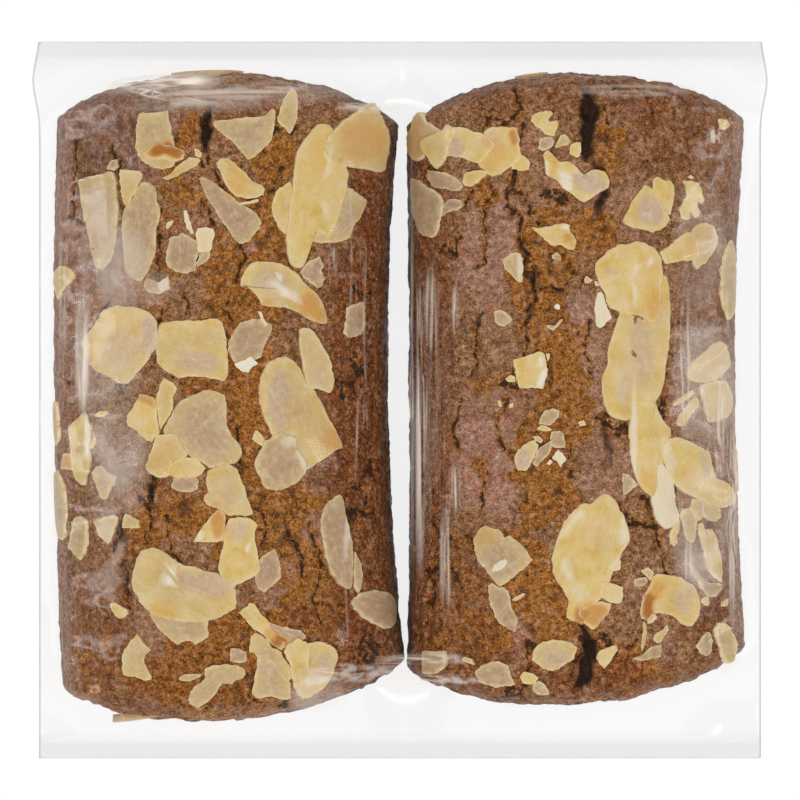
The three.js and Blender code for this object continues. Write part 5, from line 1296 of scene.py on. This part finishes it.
def makeFilm(name, pieces, material):
    # two membranes that share the pack's outline: one tight over the bars, one tight under them
    f = filmValues
    u, v = np.meshgrid(np.linspace(-1, 1, f["stepsAcross"]), np.linspace(-1, 1, f["stepsAlong"]))
    y = f["halfLength"] * v
    x = (f["halfWidth"] + f["earReach"] * np.exp(-((y - f["earY"]) / f["earLength"]) ** 2)) * u
    points = np.concatenate([pointsOf(piece) for piece in pieces])
    upper, lower = points[points[:, 2] > f["upperFrom"]], points[points[:, 2] < f["lowerTo"]] * [1, 1, -1]
    over = heightsUnder(upper, f["halfWidth"] * u, y) + f["clearance"]
    below = heightsUnder(lower, f["halfWidth"] * u, y) + f["underClearance"]
    edge = f["halfLength"] - np.abs(y)
    band = smoothStep(f["sealBand"] + f["sealFade"], f["sealBand"], edge)
    top = tighten(np.full(x.shape, f["seamHeight"]), over, f["slack"])
    bottom = -tighten(np.full(x.shape, -f["seamHeight"]), below, f["slack"])
    top = top * (1 - band) + (f["seamHeight"] + f["sealHalf"]) * band
    bottom = bottom * (1 - band) + (f["seamHeight"] - f["sealHalf"]) * band
    for sheet in (top, bottom):
        sheet[[0, -1]] = f["seamHeight"]
        sheet[:, [0, -1]] = f["seamHeight"]
    bottom = np.maximum(bottom, f["overFloor"])
    inside = np.zeros(x.shape, bool)
    inside[1:-1, 1:-1] = True
    numbers = np.arange(x.size).reshape(x.shape)
    under = numbers.copy()
    under[inside] = x.size + np.arange(inside.sum())
    points = np.concatenate([np.stack([x, y, top], -1).reshape(-1, 3), np.stack([x, y, bottom], -1)[inside]])
    # seen from above, x runs with the columns and y with the rows
    upperQuads = np.stack([numbers[:-1, :-1], numbers[:-1, 1:], numbers[1:, 1:], numbers[1:, :-1]], -1)
    lowerQuads = np.stack([under[:-1, :-1], under[1:, :-1], under[1:, 1:], under[:-1, 1:]], -1)
    quads = np.concatenate([upperQuads.reshape(-1, 4), lowerQuads.reshape(-1, 4)])
    aside, shine = signedAside(x, y)
    inset = np.minimum(f["halfWidth"] - np.abs(f["halfWidth"] * u), edge + 0.4)
    masks = {
        "seal": smoothStep(f["sealBand"] + 2.4, f["sealBand"] - 1.4, edge), "aside": np.clip(aside, -3, 3),
        "shine": shine, "inset": np.minimum(inset, 3),
    }
    for key, patches in (("hazeSoft", hazeSoft), ("hazeAlong", hazeAlong), ("hazeAcross", hazeAcross)):
        masks[key] = patchMask(x, y, fromSteps(patches))
    for key, value in masks.items():
        # only the upper membrane has the haze and the painted highlights
        beneath = value[inside] * (key in ("seal", "aside", "inset"))
        masks[key] = np.concatenate([value.ravel(), beneath])
    return addMesh(name, points, quads, np.zeros((0, 3), int), masks, material)


film = makeFilm("filmPack", [crustLeft, crustRight, almondsLeft, almondsRight], makeFilmMaterial())
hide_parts("film")
for piece in (crustLeft, crustRight, almondsLeft, almondsRight, film):
    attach(piece, "root")
print("film made")


# ---- floor, light and camera

stageValues = {
    "floorGlow": 0.92, "floorPaint": "#696969", "floorReach": 3000.0, "world": 0.15,
    "target": (0, 0, 0.015),                          # where the lights point, in metres like the camera's rows
    "cameraHeight": 3.0, "frameWidth": 0.144, "planeHeight": 0.010,
    "sensorWidth": 36,                                # in millimetres, as a lens is
}


def addLight(name, place, size, sizeY, power):
    data = bpy.data.lights.new(name, "AREA")
    data.shape, data.size, data.size_y, data.energy = "RECTANGLE", size, sizeY, power
    light = bpy.data.objects.new(name, data)
    light.location = place
    towards = Vector(stageValues["target"]) - Vector(place)
    light.rotation_euler = towards.to_track_quat("-Z", "Y").to_euler()
    light.visible_camera = False
    scene.collection.objects.link(light)
    return light


def makeStage():
    material, tree = newMaterial("paleFloor")
    glow = addNode(tree, "ShaderNodeEmission", {"Color": "#ffffff", "Strength": stageValues["floorGlow"]})
    paint = addNode(tree, "ShaderNodeBsdfDiffuse", {"Color": stageValues["floorPaint"]})
    both = addNode(tree, "ShaderNodeAddShader", {0: glow.outputs[0], 1: paint.outputs[0]})
    addNode(tree, "ShaderNodeOutputMaterial", {"Surface": both.outputs[0]})
    corners = np.array([[-1, -1, 0], [1, -1, 0], [1, 1, 0], [-1, 1, 0]]) * stageValues["floorReach"]
    floor = addMesh("floor", corners, np.array([[0, 1, 2, 3]]), np.zeros((0, 3), int), {}, material)
    floor.data.shade_flat()
    world = bpy.data.worlds.new("softStudio")
    scene.world = world
    world.use_nodes = True
    background = world.node_tree.nodes["Background"]
    background.inputs["Color"].default_value = linear("#ffffff")
    background.inputs["Strength"].default_value = stageValues["world"]
    # low strips show in the film as thin streaks along the shoulders of the bars
    addLight("stripLeft", (-1.2, 0.0, 0.46), 0.1, 1.5, 2.2)
    addLight("stripRight", (1.2, 0.1, 0.46), 0.1, 1.5, 2.0)
    addLight("stripFar", (0.0, 1.2, 0.5), 1.4, 0.1, 2.0)
    addLight("stripNear", (0.1, -1.2, 0.46), 1.4, 0.1, 1.6)
    overhead = addLight("overhead", (0.0, -0.3, 2.0), 1.4, 1.4, 33)
    overhead.visible_glossy = False                   # the film would mirror it as one white patch


makeStage()
cameraData = bpy.data.cameras.new("camera")
cameraData.sensor_width = stageValues["sensorWidth"]
distance = stageValues["cameraHeight"] - stageValues["planeHeight"]
cameraData.lens = stageValues["sensorWidth"] * distance / stageValues["frameWidth"]
cameraData.clip_end = 20
camera = bpy.data.objects.new("camera", cameraData)
camera.location = (0, 0, stageValues["cameraHeight"])
scene.collection.objects.link(camera)
scene.camera = camera
scene.view_settings.view_transform = "Standard"
print("stage made")
